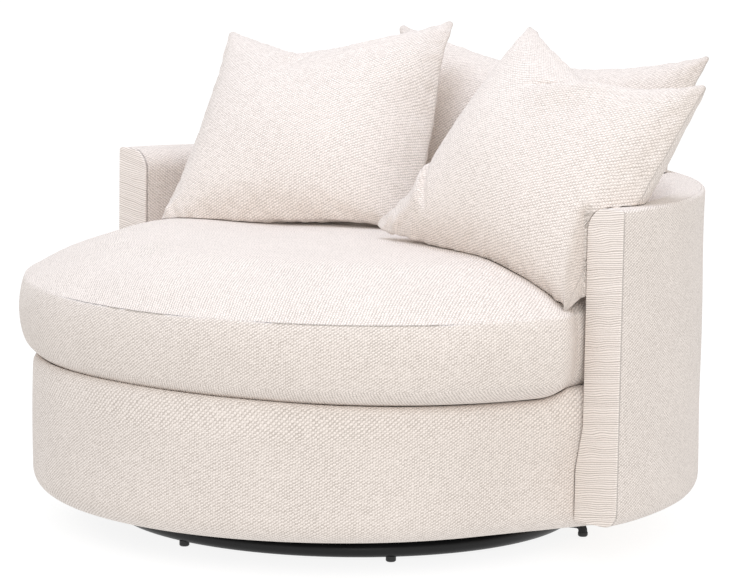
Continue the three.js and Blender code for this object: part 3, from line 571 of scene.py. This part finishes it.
def drum_waves(points):
    """The band's soft belly and unevenness, calmer towards the arms' feet."""
    outside = smooth_share(np.hypot(points[:, 0], points[:, 1] - drum_centre), wall_start, wall_end)
    middle = np.sin(math.pi * np.clip((points[:, 2] - drum_low) / (drum_high - drum_low), 0, 1))
    front = 1 - smooth_share(points[:, 1], arm_front - calm_reach, arm_front)
    return outside * front * (slack(points, size=0.24, depth=0.0009, seed=3) + drum_belly * middle)


drum_cover = turned_cover("drum_cover", drum_section, drum_centre, drum_ends, drum_columns, drum_roll,
                          drum_waves, drum_band)
takes_over(drum_cover, "seat_base_cover", "chair")

# The back and arms
# The half-round back runs into the arms. An inside cover goes up over the rim to a plain seam at the
# outer edge, and an outside cover goes from there down and under, both over thin padding.
barrel_low, barrel_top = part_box("outside_cover")[0][2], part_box("inside_cover")[1][2]
barrel_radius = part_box("outside_cover")[1][1] - barrel_centre
barrel_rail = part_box("barrel_rail")[1][2] + gap
foot_low, cover_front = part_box("inside_cover")[0][2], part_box("inside_cover")[0][1]
rim_seam, inner_padding, outer_padding, under_width = 0.6495, 0.014, 0.015, 0.058
cover_roll, rim_round, taper_round, foot_round, outer_round = 0.0004, 0.042, 0.04, 0.028, 0.0065
seam_round, seam_drop, calm_front = 0.0005, 0.0001, 0.05
rim_start, rim_end = barrel_top - 0.03, barrel_top - 0.005


def barrel_ends(radius):
    """The angles at which the covers start and end, on the line of the arms' fronts."""
    angle = np.arcsin((cover_front - barrel_centre) / radius)
    return angle, math.pi - angle


def barrel_waves(points):
    """The covers' unevenness, calmer at the arms' fronts and on the rim."""
    away = smooth_share(points[:, 1], cover_front, cover_front + calm_front)
    below = 1 - smooth_share(points[:, 2], rim_start, rim_end)
    return slack(points, size=0.28, depth=0.0012, seed=8) * away * below


inside_section = rounded([
    (barrel_foot, foot_low, 0), (barrel_foot, taper_low, taper_round),
    (barrel_inside, taper_high, taper_round), (barrel_inside, barrel_top, rim_round),
    (rim_seam, barrel_top, seam_round), (rim_seam, barrel_rail, 0),
    (barrel_inside + inner_padding, barrel_rail, 0), (barrel_inside + inner_padding, foot_low, 0),
], step=0.007)
outside_section = rounded([
    (barrel_radius - under_width, barrel_low, 0), (barrel_radius, barrel_low, foot_round),
    (barrel_radius, barrel_top, outer_round), (rim_seam + gap, barrel_top - seam_drop, seam_round),
    (rim_seam + gap, barrel_rail, 0), (barrel_radius - outer_padding, barrel_rail, 0),
    (barrel_radius - outer_padding, barrel_low + wrap_thickness, 0),
    (barrel_radius - under_width, barrel_low + wrap_thickness, 0),
], step=0.007)
back_covers = {"inside_cover": (inside_section, 330), "outside_cover": (outside_section, 380)}
for name, (section, columns) in back_covers.items():
    cover = turned_cover("back_" + name, section, barrel_centre, barrel_ends, columns, cover_roll,
                         barrel_waves)
    takes_over(cover, name, "chair")

# The arms' fronts
# Each arm ends in a narrow padded panel, wider at its foot, sewn by hand to the covers round its
# edge. The ribs of its cloth lie across it and rise a little to the outside.
facing_round, facing_crown, facing_swell, facing_proud = 0.0016, 0.0012, 0.014, 0.0004
facing_rows, facing_columns, facing_margin, facing_corner = 100, 14, 0.16, 0.004
facing_edge = np.array([0, 0.2, 0.6, 1.2, 2.2, 3.6, 6, 9]) / 1000
rib_pitch, rib_rise, rib_start, back_shift = 0.0038, 0.14, 0.0577, 0.3
facing_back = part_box("arm_front_right")[1][1]
facing_outer = math.sqrt(barrel_radius ** 2 - (arm_front - barrel_centre) ** 2)
facing_inner, facing_outer = barrel_inside - facing_proud, facing_outer + facing_proud
facing_foot, facing_top = barrel_foot - facing_proud, barrel_top + facing_proud
facing_outline = rounded([
    (facing_foot, barrel_low, facing_corner), (facing_outer, barrel_low, foot_round),
    (facing_outer, facing_top, outer_round), (facing_inner, facing_top, rim_round),
    (facing_inner, taper_high, taper_round), (facing_foot, taper_low, taper_round),
], step=0.004)


def facing_widths(heights):
    """The inner and outer edge of an arm's front at each height."""
    inner, outer = np.full(len(heights), np.inf), np.full(len(heights), -np.inf)
    for first, last in zip(facing_outline, facing_outline[1:]):
        low, high = sorted((first[1], last[1]))
        on = (heights >= low - tiny) & (heights <= high + tiny)
        share = np.clip((heights - low) / max(high - low, tiny), 0, 1)
        ends = (first[0], last[0]) if first[1] <= last[1] else (last[0], first[0])
        level = (ends[0], ends[1]) if high - low < tiny else ()
        for x in (ends[0] + share * (ends[1] - ends[0]), *level):
            inner = np.where(on, np.fmin(inner, x), inner)
            outer = np.where(on, np.fmax(outer, x), outer)
    return inner, outer


def arm_front_panel(hand, side):
    """The front of the arm at one hand: side is 1 for the right arm and -1 for the left."""
    span, widest = facing_top - barrel_low, facing_outer - facing_foot
    middle = np.linspace(2 * facing_edge[-1], span - 2 * facing_edge[-1], facing_rows)
    heights = np.concatenate((facing_edge, middle, (span - facing_edge)[::-1])) + barrel_low
    inner, outer = facing_widths(heights)
    edge = facing_edge / widest
    middle = np.linspace(facing_margin, 1 - facing_margin, facing_columns)
    steps = np.concatenate((edge, middle, 1 - edge[::-1]))
    x = inner[:, None] + (outer - inner)[:, None] * steps
    z = np.repeat(heights[:, None], len(steps), 1)
    flat = np.stack((x.ravel(), z.ravel()), 1)
    away = np.full(len(flat), np.inf)
    for first, last in zip(facing_outline, facing_outline[1:]):
        way = last - first
        if way @ way > 0:
            share = np.clip((flat - first) @ way / (way @ way), 0, 1)
            away = np.minimum(away, np.linalg.norm(flat - first - share[:, None] * way, axis=1))
    crown = facing_crown * (1 - np.exp(-away / facing_swell))
    setback = arm_front + rolled_in(away, facing_round) - crown
    front = np.stack((side * flat[:, 0], setback, flat[:, 1]), 1)
    back = front * (1, 0, 1) + (0, facing_back, 0)
    points = np.vstack((front, back))
    rows, columns, total = len(heights), len(steps), len(front)
    row, column = grid_quads(rows, columns)
    quads = row * columns + column
    number = np.arange(total).reshape(rows, columns)
    rim = np.concatenate((number[0], number[1:, -1], number[-1, -2::-1], number[-2:0:-1, 0]))
    sides = np.stack((rim, rim + total, np.roll(rim, -1) + total, np.roll(rim, -1)), 1)
    faces = np.concatenate((quads, quads[:, ::-1] + total, sides))[:, ::side]
    waver = slack(points * (1, 0, 1), size=0.04, depth=0.0009, seed=12)[faces]
    rib = (points[faces, 2] - side * points[faces, 0] * rib_rise + waver) / rib_pitch
    across = rib_start - rib * warp_pitch + back_shift * (faces >= total)
    places = np.stack((across, rib * weft_pitch), 2)
    piece = mesh_piece("arm_panel_" + hand, points, faces.tolist(), places, cover_cloth)
    takes_over(piece, "arm_front_" + hand, "chair")


for hand, side in (("right", 1), ("left", -1)):
    arm_front_panel(hand, side)

# The seat cushion
# A thick round cushion with a sewn boxing, filled until it crowns. It is round in front and pressed
# in between the arms, and it lies loose on the deck.
seam_depth, seam_width, stitch_pucker = 0.0005, 0.0030, 0.0003
cloth_pucker, pucker_width, pucker_waves, fewest, most = 0.0005, 0.016, 8, 60, 220
cushion_columns, cushion_counts, coarse_counts = 560, (34, 26, 52), (17, 12, 26)
middle_share, middle_reach, filling_frames = 0.02, 0.018, 20


def cushion_rows(belly, boxing, crown):
    """Rows of the cushion's surface from the middle below to the middle on top: a share of the
    seam's radius, a share of the bulge, a height, and a place that counts the panels."""
    low = np.sin(np.linspace(middle_share, 1, belly) * math.pi / 2)[:-1]
    side = np.linspace(0, 1, boxing)
    high = np.sin(np.linspace(middle_share, 1, crown) * math.pi / 2)[-2::-1]
    below = low_seam - cushion_belly * (1 - low ** belly_power)
    beside = low_seam + (high_seam - low_seam) * side
    above = high_seam + cushion_crown * (1 - high ** crown_power)
    return np.concatenate((
        np.stack((low, 0 * low, below, np.linspace(0, 1, belly)[:-1]), 1),
        np.stack((0 * side + 1, np.sin(math.pi * side), beside, 1 + side), 1),
        np.stack((high, 0 * high, above, np.linspace(2, 3, crown)[1:]), 1),
    ))


def seam_rows(rows):
    """Which rows of the cushion's surface lie on its two seams."""
    return [int(np.argmax(rows[:, 3] >= seam - tiny)) for seam in (1, 2)]


def cushion_points(rows, columns):
    """The cushion's surface: each row is taken once round the barrel's centre."""
    angle = np.linspace(0, 2 * math.pi, columns, endpoint=False) + math.pi / 2
    seam, bulge = cushion_seam(angle)
    radius = rows[:, :1] * seam + rows[:, 1:2] * bulge
    x, y = radius * np.cos(angle), barrel_centre + radius * np.sin(angle)
    return np.stack((x, y, np.repeat(rows[:, 2:3], columns, 1)), 2)


def filled_out(points, faces, held, looseness, furthest):
    """The points after the filling has pushed the cloth out, where it isn't held by a seam: none of
    them further than the furthest. The cloth is cut larger than the shape by its looseness."""
    mesh = bpy.data.meshes.new("filling")
    mesh.from_pydata(points.tolist(), [], plain(faces))
    bag = bpy.data.objects.new("filling", mesh)
    bpy.context.scene.collection.objects.link(bag)
    bag.vertex_groups.new(name="held").add([int(n) for n in held], 1.0, "REPLACE")
    cloth = bag.modifiers.new("cloth", "CLOTH")
    cloth.settings.quality = 3
    cloth.settings.use_pressure = True
    cloth.settings.uniform_pressure_force = 4.0
    cloth.settings.effector_weights.gravity = 0.0
    cloth.settings.vertex_group_mass = "held"
    cloth.settings.shrink_min = -looseness
    cloth.collision_settings.use_collision = False
    cloth.point_cache.frame_start, cloth.point_cache.frame_end = 1, filling_frames
    for number in range(1, filling_frames + 1):
        bpy.context.scene.frame_set(number)
    seen = bag.evaluated_get(bpy.context.evaluated_depsgraph_get())
    after = np.zeros(len(points) * 3)
    seen.data.vertices.foreach_get("co", after)
    bpy.data.objects.remove(bag)
    bpy.context.scene.frame_set(1)
    move = after.reshape(-1, 3) - points
    far = np.maximum(np.linalg.norm(move, axis=1), tiny)[:, None]
    return points + move / far * furthest * np.tanh(far / furthest)


def closed_quads(rows, columns):
    """Quads between rows of points that close on themselves."""
    row, column = grid_quads(rows, columns + 1)
    return row, column, row * columns + column % columns


def seat_cushion_piece():
    """The cushion, filled out, drawn in at both seams and settled."""
    columns, coarse_columns = cushion_columns, cushion_columns // 2
    rows, coarse_rows = cushion_rows(*cushion_counts), cushion_rows(*coarse_counts)
    grid = cushion_points(rows, columns)
    coarse = cushion_points(coarse_rows, coarse_columns)
    row, column, quads = closed_quads(len(coarse_rows), coarse_columns)
    number = np.arange(coarse.size // 3).reshape(coarse.shape[:2])
    held = number[seam_rows(coarse_rows)].ravel()
    bag_faces = quads.tolist() + [number[0][::-1].tolist(), number[-1].tolist()]
    flat = coarse.reshape(-1, 3)
    move = filled_out(flat, bag_faces, held, looseness=0.002, furthest=0.008) - flat
    move = move.reshape(coarse.shape)
    move = np.stack([np.stack([np.interp(rows[:, 3], coarse_rows[:, 3], move[:, j, axis])
                               for j in range(coarse_columns)], 1) for axis in range(3)], 2)
    # The deck holds the underside where it is, up to the lower seam.
    held_to, free_from = 0.95, 1.1
    move = move * smooth_share(rows[:, 3], held_to, free_from)[:, None, None]
    halfway = (move + np.roll(move, -1, 1)) / 2
    grid = grid + np.stack((move, halfway), 2).reshape(grid.shape)
    count = len(rows)
    points = grid.reshape(-1, 3)
    row, column, quads = closed_quads(count, columns)
    along = lengths(grid[:, columns // 2])
    seams = seam_rows(rows)
    angle = np.linspace(0, 2 * math.pi, columns, endpoint=False)
    pull = np.zeros((count, columns))
    for seed, seam in enumerate(seams):
        away = (along - along[seam])[:, None]
        chance = np.random.default_rng(5 + seed)
        counts = chance.integers(fewest, most, pucker_waves)
        pucker = sum(np.sin(angle * n + chance.uniform(0, 6.3)) for n in counts) / pucker_waves
        at_seam = np.exp(-(away / seam_width) ** 2)
        pull -= (seam_depth + stitch_pucker * pucker) * at_seam
        pull += cloth_pucker * pucker * np.exp(-(away / pucker_width) ** 2) * (1 - at_seam)
    settle_low, settle_high = 0.30, 0.35
    settle = slack(points, size=0.21, depth=0.0014, seed=21)
    settle = settle * smooth_share(points[:, 2], settle_low, settle_high)
    points = points + point_normals(points, quads) * (pull.ravel() + settle)[:, None]
    middles = points.reshape(count, columns, 3)[[0, -1]].mean(1)
    spun = np.linspace(0, 2 * math.pi, columns + 1)
    around = spun * cushion_radius
    # The cloth lies flat in plan on the two round panels, and runs along the band on the boxing.
    panel = np.where(row[:, :1] < seams[0], 0, np.where(row[:, :1] < seams[1], 1, 2))
    reach = np.where(panel == 2, along[-1] - along[row], along[row]) + middle_reach
    plan = np.stack((reach * np.cos(spun[column]), reach * np.sin(spun[column])), 2)
    band = np.stack((around[column], along[row]), 2)
    places = np.where((panel == 1)[..., None], band, plan).reshape(-1, 2)
    j = np.arange(columns)
    after, last, lid = (j + 1) % columns, (count - 1) * columns, len(points)
    below, above = np.stack((0 * j, after, j), 1), np.stack((0 * j, j, after), 1)
    lids = np.concatenate((below + (lid, 0, 0), above + (lid + 1, last, last)))
    faces = quads.tolist() + lids.tolist()
    lid_turn = spun[np.concatenate((below, above))]
    lid_reach = middle_reach * np.array((0, 1, 1))
    lid_places = np.stack((lid_reach * np.cos(lid_turn), lid_reach * np.sin(lid_turn)), 2)
    places = np.concatenate((places, lid_places.reshape(-1, 2)))
    return mesh_piece("seat_cushion_cover", np.vstack((points, middles)), faces, places, cover_cloth)


seat_cushion = seat_cushion_piece()
takes_over(seat_cushion, "seat_cushion", "chair")

# The pillows
# Three loose feather pillows in the same cloth, each two square panels sewn together at the edge.
# A chop with the hand has dented the top edge, and they lean on the back and on each other.
pillow_cloth = woven_cloth("cream_pillow_cloth")
pillow_grid, even_share, pillow_fullness, seam_thickness, chop_softness = 76, 0.25, 0.5, 0.003, 0.06
bend_start, bend_top, bend_loss, ear_thinning = 0.45, 0.9, 0.85, 0.5
crease_start, crease_end, groove = 0.2, 0.06, 0.7
pillow_clear, pillow_search, soft_limit, rim_catch, rim_slip = 0.0015, 0.14, 0.007, 0.06, 0.01
seam_hold, pucker_reach, crumple, crumple_reach, panel_shift = 0.012, 0.022, 2.0, 0.24, 0.7
# An ear is a corner, across and up, then its reach and how far it is pulled out and up. A fold is
# where its crease is deepest, where it fades out, its depth, and its reach on the steep and the soft side.
pillows = {
    "right_pillow": dict(
        width=0.486, height=0.452, thick=0.205, angle=17.4, inset=0.156, rise=0.1645, lean=33.2, roll=12.0,
        turn=4.6, draw=0.022, top_draw=0.070, top=0.9, dent=0.058, dent_place=0.01, dent_spread=1.45,
        folds=((0.20, 0.85, -0.34, 0.44, 0.026, 0.008, 0.050),
               (-0.84, -0.56, -0.58, -0.92, 0.010, 0.006, 0.02)),
        ears=((-1, -1, 0.24, -0.042, -0.002), (1, -1, 0.14, 0.0, -0.004)),
        bend=0.0, tip=0.009, blunt=0.014),
    "left_pillow": dict(
        width=0.497, height=0.473, thick=0.174, angle=145.9, inset=0.268, rise=0.1815, lean=43.3, roll=-6.1,
        turn=19.4, draw=0.059, top_draw=0.023, top=0.938, dent=0.086, dent_place=-0.15, dent_spread=1.0,
        folds=((-0.16, 0.84, -0.44, 0.66, 0.009, 0.005, 0.025),), ears=((1, 1, 0.3, 0.0, 0.004),),
        bend=0.045, tip=0.013, blunt=0.0),
    "back_pillow": dict(
        width=0.665, height=0.358, thick=0.175, angle=90.7, inset=0.074, rise=0.1713, lean=21.3, roll=2.3,
        turn=14.4, draw=0.097, top_draw=0.051, top=1.023, dent=0.050, dent_place=-0.2, dent_spread=2.4,
        folds=(), ears=(), bend=0.0, tip=0.013, blunt=0.0),
}


def pillow_pose(p):
    """Where a pillow stands in the barrel, turned, leaned back and rolled."""
    out = barrel_inside - p["inset"]
    around, turn, lean, roll = (math.radians(p[n]) for n in ("angle", "turn", "lean", "roll"))
    pose = Matrix.Rotation(turn, 4, "Z") @ Matrix.Rotation(-lean, 4, "X") @ Matrix.Rotation(roll, 4, "Y")
    height = high_seam + cushion_crown + p["rise"]
    return Matrix.Translation((out * math.cos(around), barrel_centre + out * math.sin(around), height)) @ pose


def tipped(u, v, across, up):
    """Rounds the corners of a square panel: across and up are the round's shares of its half sizes."""
    over, above = np.maximum(np.abs(u) - (1 - across), 0) / across, np.maximum(np.abs(v) - (1 - up), 0) / up
    new_u = np.where(over > 0, 1 - across + across * over * np.sqrt(1 - above ** 2 / 2), np.abs(u))
    new_v = np.where(above > 0, 1 - up + up * above * np.sqrt(1 - over ** 2 / 2), np.abs(v))
    return np.sign(u) * new_u, np.sign(v) * new_v


def pillow_surface(p, u, v, side):
    """Points of a pillow's front (side -1) or back (side 1), which u crosses and v climbs."""
    full = np.maximum(0, (1 - u * u) * (1 - v * v)) ** pillow_fullness
    tip = 2 * (p["tip"] + p["blunt"] * (u < 0) * (v < 0))
    u, v = tipped(u, v, tip / p["width"], tip / p["height"])
    narrow = 1 + (p["top"] - 1) * (1 + v) / 2
    x = p["width"] / 2 * u * narrow * (1 - p["draw"] * (1 - v * v))
    right = u > p["dent_place"]
    reach = np.abs(u - p["dent_place"]) / np.where(right, 1 - p["dent_place"], 1 + p["dent_place"])
    reach = np.where(right, reach ** p["dent_spread"], reach)
    chop = 1 - np.sqrt(reach ** 2 + chop_softness ** 2) / math.sqrt(1 + chop_softness ** 2)
    z = p["height"] / 2 * v * (1 - p["top_draw"] * (1 - u * u)) - p["dent"] * chop * ((1 + v) / 2) ** 2
    y = side * (seam_thickness / 2 + (p["thick"] - seam_thickness) / 2 * full)
    for ear_u, ear_v, reach, out, up in p["ears"]:
        near = np.exp(-((u - ear_u) ** 2 + (v - ear_v) ** 2) / reach ** 2)
        x, y, z = x + out * near, y * (1 - ear_thinning * near), z + up * near
    turned = np.maximum(0, u - bend_start) / (1 - bend_start)
    turned = turned * (1 - bend_loss * smooth_share(v, 0, bend_top))
    y = y + p["bend"] * turned ** 2
    return np.stack((x, y, z), -1)


def folded(p, u, v):
    """How far the cloth of a pillow's front puffs out over its creases: softly up to each crease, and
    steeply down into a groove past it. A crease runs from its deep end to where it fades."""
    out = np.zeros_like(u)
    half = np.array((p["width"] / 2, p["height"] / 2))
    place = np.stack((u, v), 1) * half
    for u0, v0, u1, v1, depth, steep, soft in p["folds"]:
        first, last = np.array((u0, v0)) * half, np.array((u1, v1)) * half
        length = np.linalg.norm(last - first)
        way = (last - first) / length
        share = (place - first) @ way / length
        above = (place - first) @ np.array((way[1], -way[0])) * np.sign(-way[0])
        beside = np.where(share < 0, -share * length, 0)
        fading = (1 - smooth_share(share, crease_start, 1)) * np.exp(-(beside / crease_end) ** 2)
        puff = np.exp(-(above / np.where(above > 0, steep, soft)) ** 2)
        out += depth * fading * (puff - groove * np.exp(-(above / steep - 2) ** 2))
    return out


def between(grid):
    """A grid of values with one more between each two, both ways."""
    for axis in (0, 1):
        rows = np.moveaxis(grid, axis, 0)
        finer = np.empty((2 * len(rows) - 1, *rows.shape[1:]))
        finer[::2], finer[1::2] = rows, (rows[1:] + rows[:-1]) / 2
        finer[1:-1] = (finer[:-2] + 2 * finer[1:-1] + finer[2:]) / 4
        grid = np.moveaxis(finer, 0, axis)
    return grid


def pillow_faces(grid):
    """Quads of two square panels of points, sewn at their edges."""
    row = grid + 1
    number = np.arange(2 * row * row).reshape(2, row, row)
    j, i = grid_quads(row, row)
    front, back = number[0][j, i], number[1][j, i][:, ::-1]
    rim = np.concatenate((number[0][0], number[0][1:, -1], number[0][-1, -2::-1], number[0][-2:0:-1, 0]))
    after = np.roll(rim, -1)
    return np.concatenate((front, back, np.stack((rim, rim + row * row, after + row * row, after), 1))), rim


def pressed(points, clear):
    """The points moved out of the back's inside and its rim."""
    points = points.copy()
    radius = np.hypot(points[:, 0], points[:, 1] - barrel_centre)
    centre = np.array((barrel_inside + rim_round, barrel_top - rim_round))
    over_round = points[:, 2] > centre[1]
    inside = barrel_inside - clear
    push = np.where(~over_round & (radius > inside) & (radius < barrel_radius), inside - radius, 0.0)
    from_round = np.stack((radius - centre[0], points[:, 2] - centre[1]), 1)
    far = np.maximum(np.linalg.norm(from_round, axis=1), tiny)
    near = over_round & (far < rim_round + clear) & (from_round[:, 0] < 0)
    target = from_round / far[:, None] * (rim_round + clear)
    push = np.where(near, target[:, 0] - from_round[:, 0], push)
    lift = np.where(near, target[:, 1] - from_round[:, 1], 0.0)
    on_rim = (radius >= centre[0]) & (radius < barrel_radius + rim_slip)
    on_rim &= (points[:, 2] < barrel_top + clear) & (points[:, 2] > barrel_top - rim_catch)
    lift = np.where(on_rim, barrel_top + clear - points[:, 2], lift)
    push = np.where(on_rim, 0.0, push)
    limit = barrel_inside - clear + np.maximum(0, points[:, 2] - barrel_top + rim_slip)
    before = limit - soft_limit * np.logaddexp(0, (limit - points[:, 0]) / soft_limit)
    points[:, 0] = np.where(points[:, 1] < arm_front, before, points[:, 0])
    behind = points[:, 1] >= arm_front
    scale = np.where(behind, (radius + push) / np.maximum(radius, tiny), 1.0)
    points[:, 0] *= scale
    points[:, 1] = barrel_centre + (points[:, 1] - barrel_centre) * scale
    points[:, 2] += np.where(behind, lift, 0.0)
    return points


def solid_tree(points, faces):
    """A soft piece, as something that the next pillows are kept out of."""
    return BVHTree.FromPolygons([Vector(point) for point in points], plain(faces))


def kept_clear(points, trees, clear):
    """The points moved out of the soft pieces that are already in place."""
    points = points.copy()
    for tree in trees:
        for n, point in enumerate(points):
            hit, way, _, _ = tree.find_nearest(Vector(point), pillow_search)
            if hit is not None and (Vector(point) - hit).dot(way) < clear:
                points[n] = hit + way * clear
    return points


cushion_corners = [vertex.co for vertex in seat_cushion.data.vertices]
in_place = [solid_tree(cushion_corners, [face.vertices for face in seat_cushion.data.polygons])]
for number, (name, p) in enumerate(pillows.items()):
    # The filling pushes out coarse panels, and panels with twice as many cells take its result.
    panels = []
    for cells in (pillow_grid, 2 * pillow_grid):
        even, closer = np.linspace(-1, 1, cells + 1), np.cos(np.linspace(0, math.pi, cells + 1))
        steps = even * even_share - (1 - even_share) * closer
        u, v = (n.ravel() for n in np.meshgrid(steps, steps))
        panels.append(np.stack([pillow_surface(p, u, v, side) for side in (-1, 1)]))
    faces, rim = pillow_faces(pillow_grid)
    row = pillow_grid + 1
    bag = panels[0].reshape(-1, 3)
    held = np.concatenate((rim, rim + row * row))
    move = filled_out(bag, faces, held, looseness=0.004, furthest=0.022) - bag
    move = [between(panel).reshape(-1, 3) for panel in move.reshape(2, row, row, 3)]
    row = 2 * pillow_grid + 1
    points = (panels[1] + move).reshape(-1, 3)
    # The cloth is measured before it is creased, so that the creases don't stretch the weave.
    level = points[:row * row].reshape(row, row, 3)
    panel = np.stack(np.meshgrid(lengths(level[row // 2]), lengths(level[:, row // 2])), 2).reshape(-1, 2)
    faces, rim = pillow_faces(2 * pillow_grid)
    from_edge = np.minimum((1 - np.abs(u)) * p["width"], (1 - np.abs(v)) * p["height"]) / 2
    points[:row * row, 1] -= folded(p, u, v) * (1 - np.exp(-(from_edge / seam_hold) ** 2))
    crumpled = crumple * np.exp(-((u + 1) ** 2 + (v + 1) ** 2) / crumple_reach ** 2)
    loose = np.tile(np.exp(-(from_edge / pucker_reach) ** 2) + crumpled, 2)
    pucker = slack(points, size=0.030, depth=0.0011, seed=31 + number) * loose
    points = points + point_normals(points, faces) * pucker[:, None]
    pose = np.array(pillow_pose(p))
    points = points @ pose[:3, :3].T + pose[:3, 3]
    for _ in range(2):
        points = kept_clear(points, in_place, pillow_clear)
        points = pressed(points, pillow_clear)
    in_place.append(solid_tree(points, faces))
    places = np.vstack((panel, panel + panel_shift))[faces]
    piece = mesh_piece(name + "_cover", points, faces, places, pillow_cloth)
    takes_over(piece, name, "chair")

# The studio
# A wide floor that glows white, and soft white light from all round. One large soft lamp hangs
# above the chair, and another stands at its front right.
floor_half, floor_grey, floor_glow, sky_glow = 60, 0.18, 0.88, 0.865
floor_white = Finish("studio_floor", Metallic=0.0, Roughness=0.9, Specular_IOR_Level=0.1)
floor_white.set("Base Color", (floor_grey, floor_grey, floor_grey, 1))
floor_white.set("Emission Color", (1, 1, 1, 1))
floor_white.set("Emission Strength", floor_glow)
floor = bpy.data.objects.new("floor", bpy.data.meshes.new("floor"))
floor_corners = [(x * floor_half, y * floor_half, 0) for x, y in ((-1, -1), (1, -1), (1, 1), (-1, 1))]
floor.data.from_pydata(floor_corners, [], [(0, 1, 2, 3)])
floor.data.materials.append(floor_white.material)
bpy.context.scene.collection.objects.link(floor)
floor.visible_diffuse = False
world = bpy.data.worlds.new("studio")
world.use_nodes = True
world.node_tree.nodes["Background"].inputs["Color"].default_value = (1, 1, 1, 1)
world.node_tree.nodes["Background"].inputs["Strength"].default_value = sky_glow
bpy.context.scene.world = world
bpy.context.scene.view_settings.view_transform = "Standard"
chair_middle = Vector((0, 0, 0.4))


def soft_lamp(name, place, size, power, tint):
    """A round lamp at a place, turned to the middle of the chair."""
    lamp = bpy.data.objects.new(name, bpy.data.lights.new(name, "AREA"))
    lamp.data.color = tint
    lamp.data.shape, lamp.data.size, lamp.data.energy = "DISK", size, power
    facing = (chair_middle - Vector(place)).to_track_quat("-Z", "Y").to_matrix()
    lamp.matrix_world = Matrix.Translation(place) @ facing.to_4x4()
    bpy.context.scene.collection.objects.link(lamp)


soft_lamp("lamp_above", place=(0.1, -0.5, 3.7), size=2.6, power=43.0, tint=(0.92, 1.0, 1.2))
soft_lamp("lamp_front", place=(3.5, -2.4, 1.7), size=2.4, power=36.0, tint=(1.0, 0.985, 0.96))
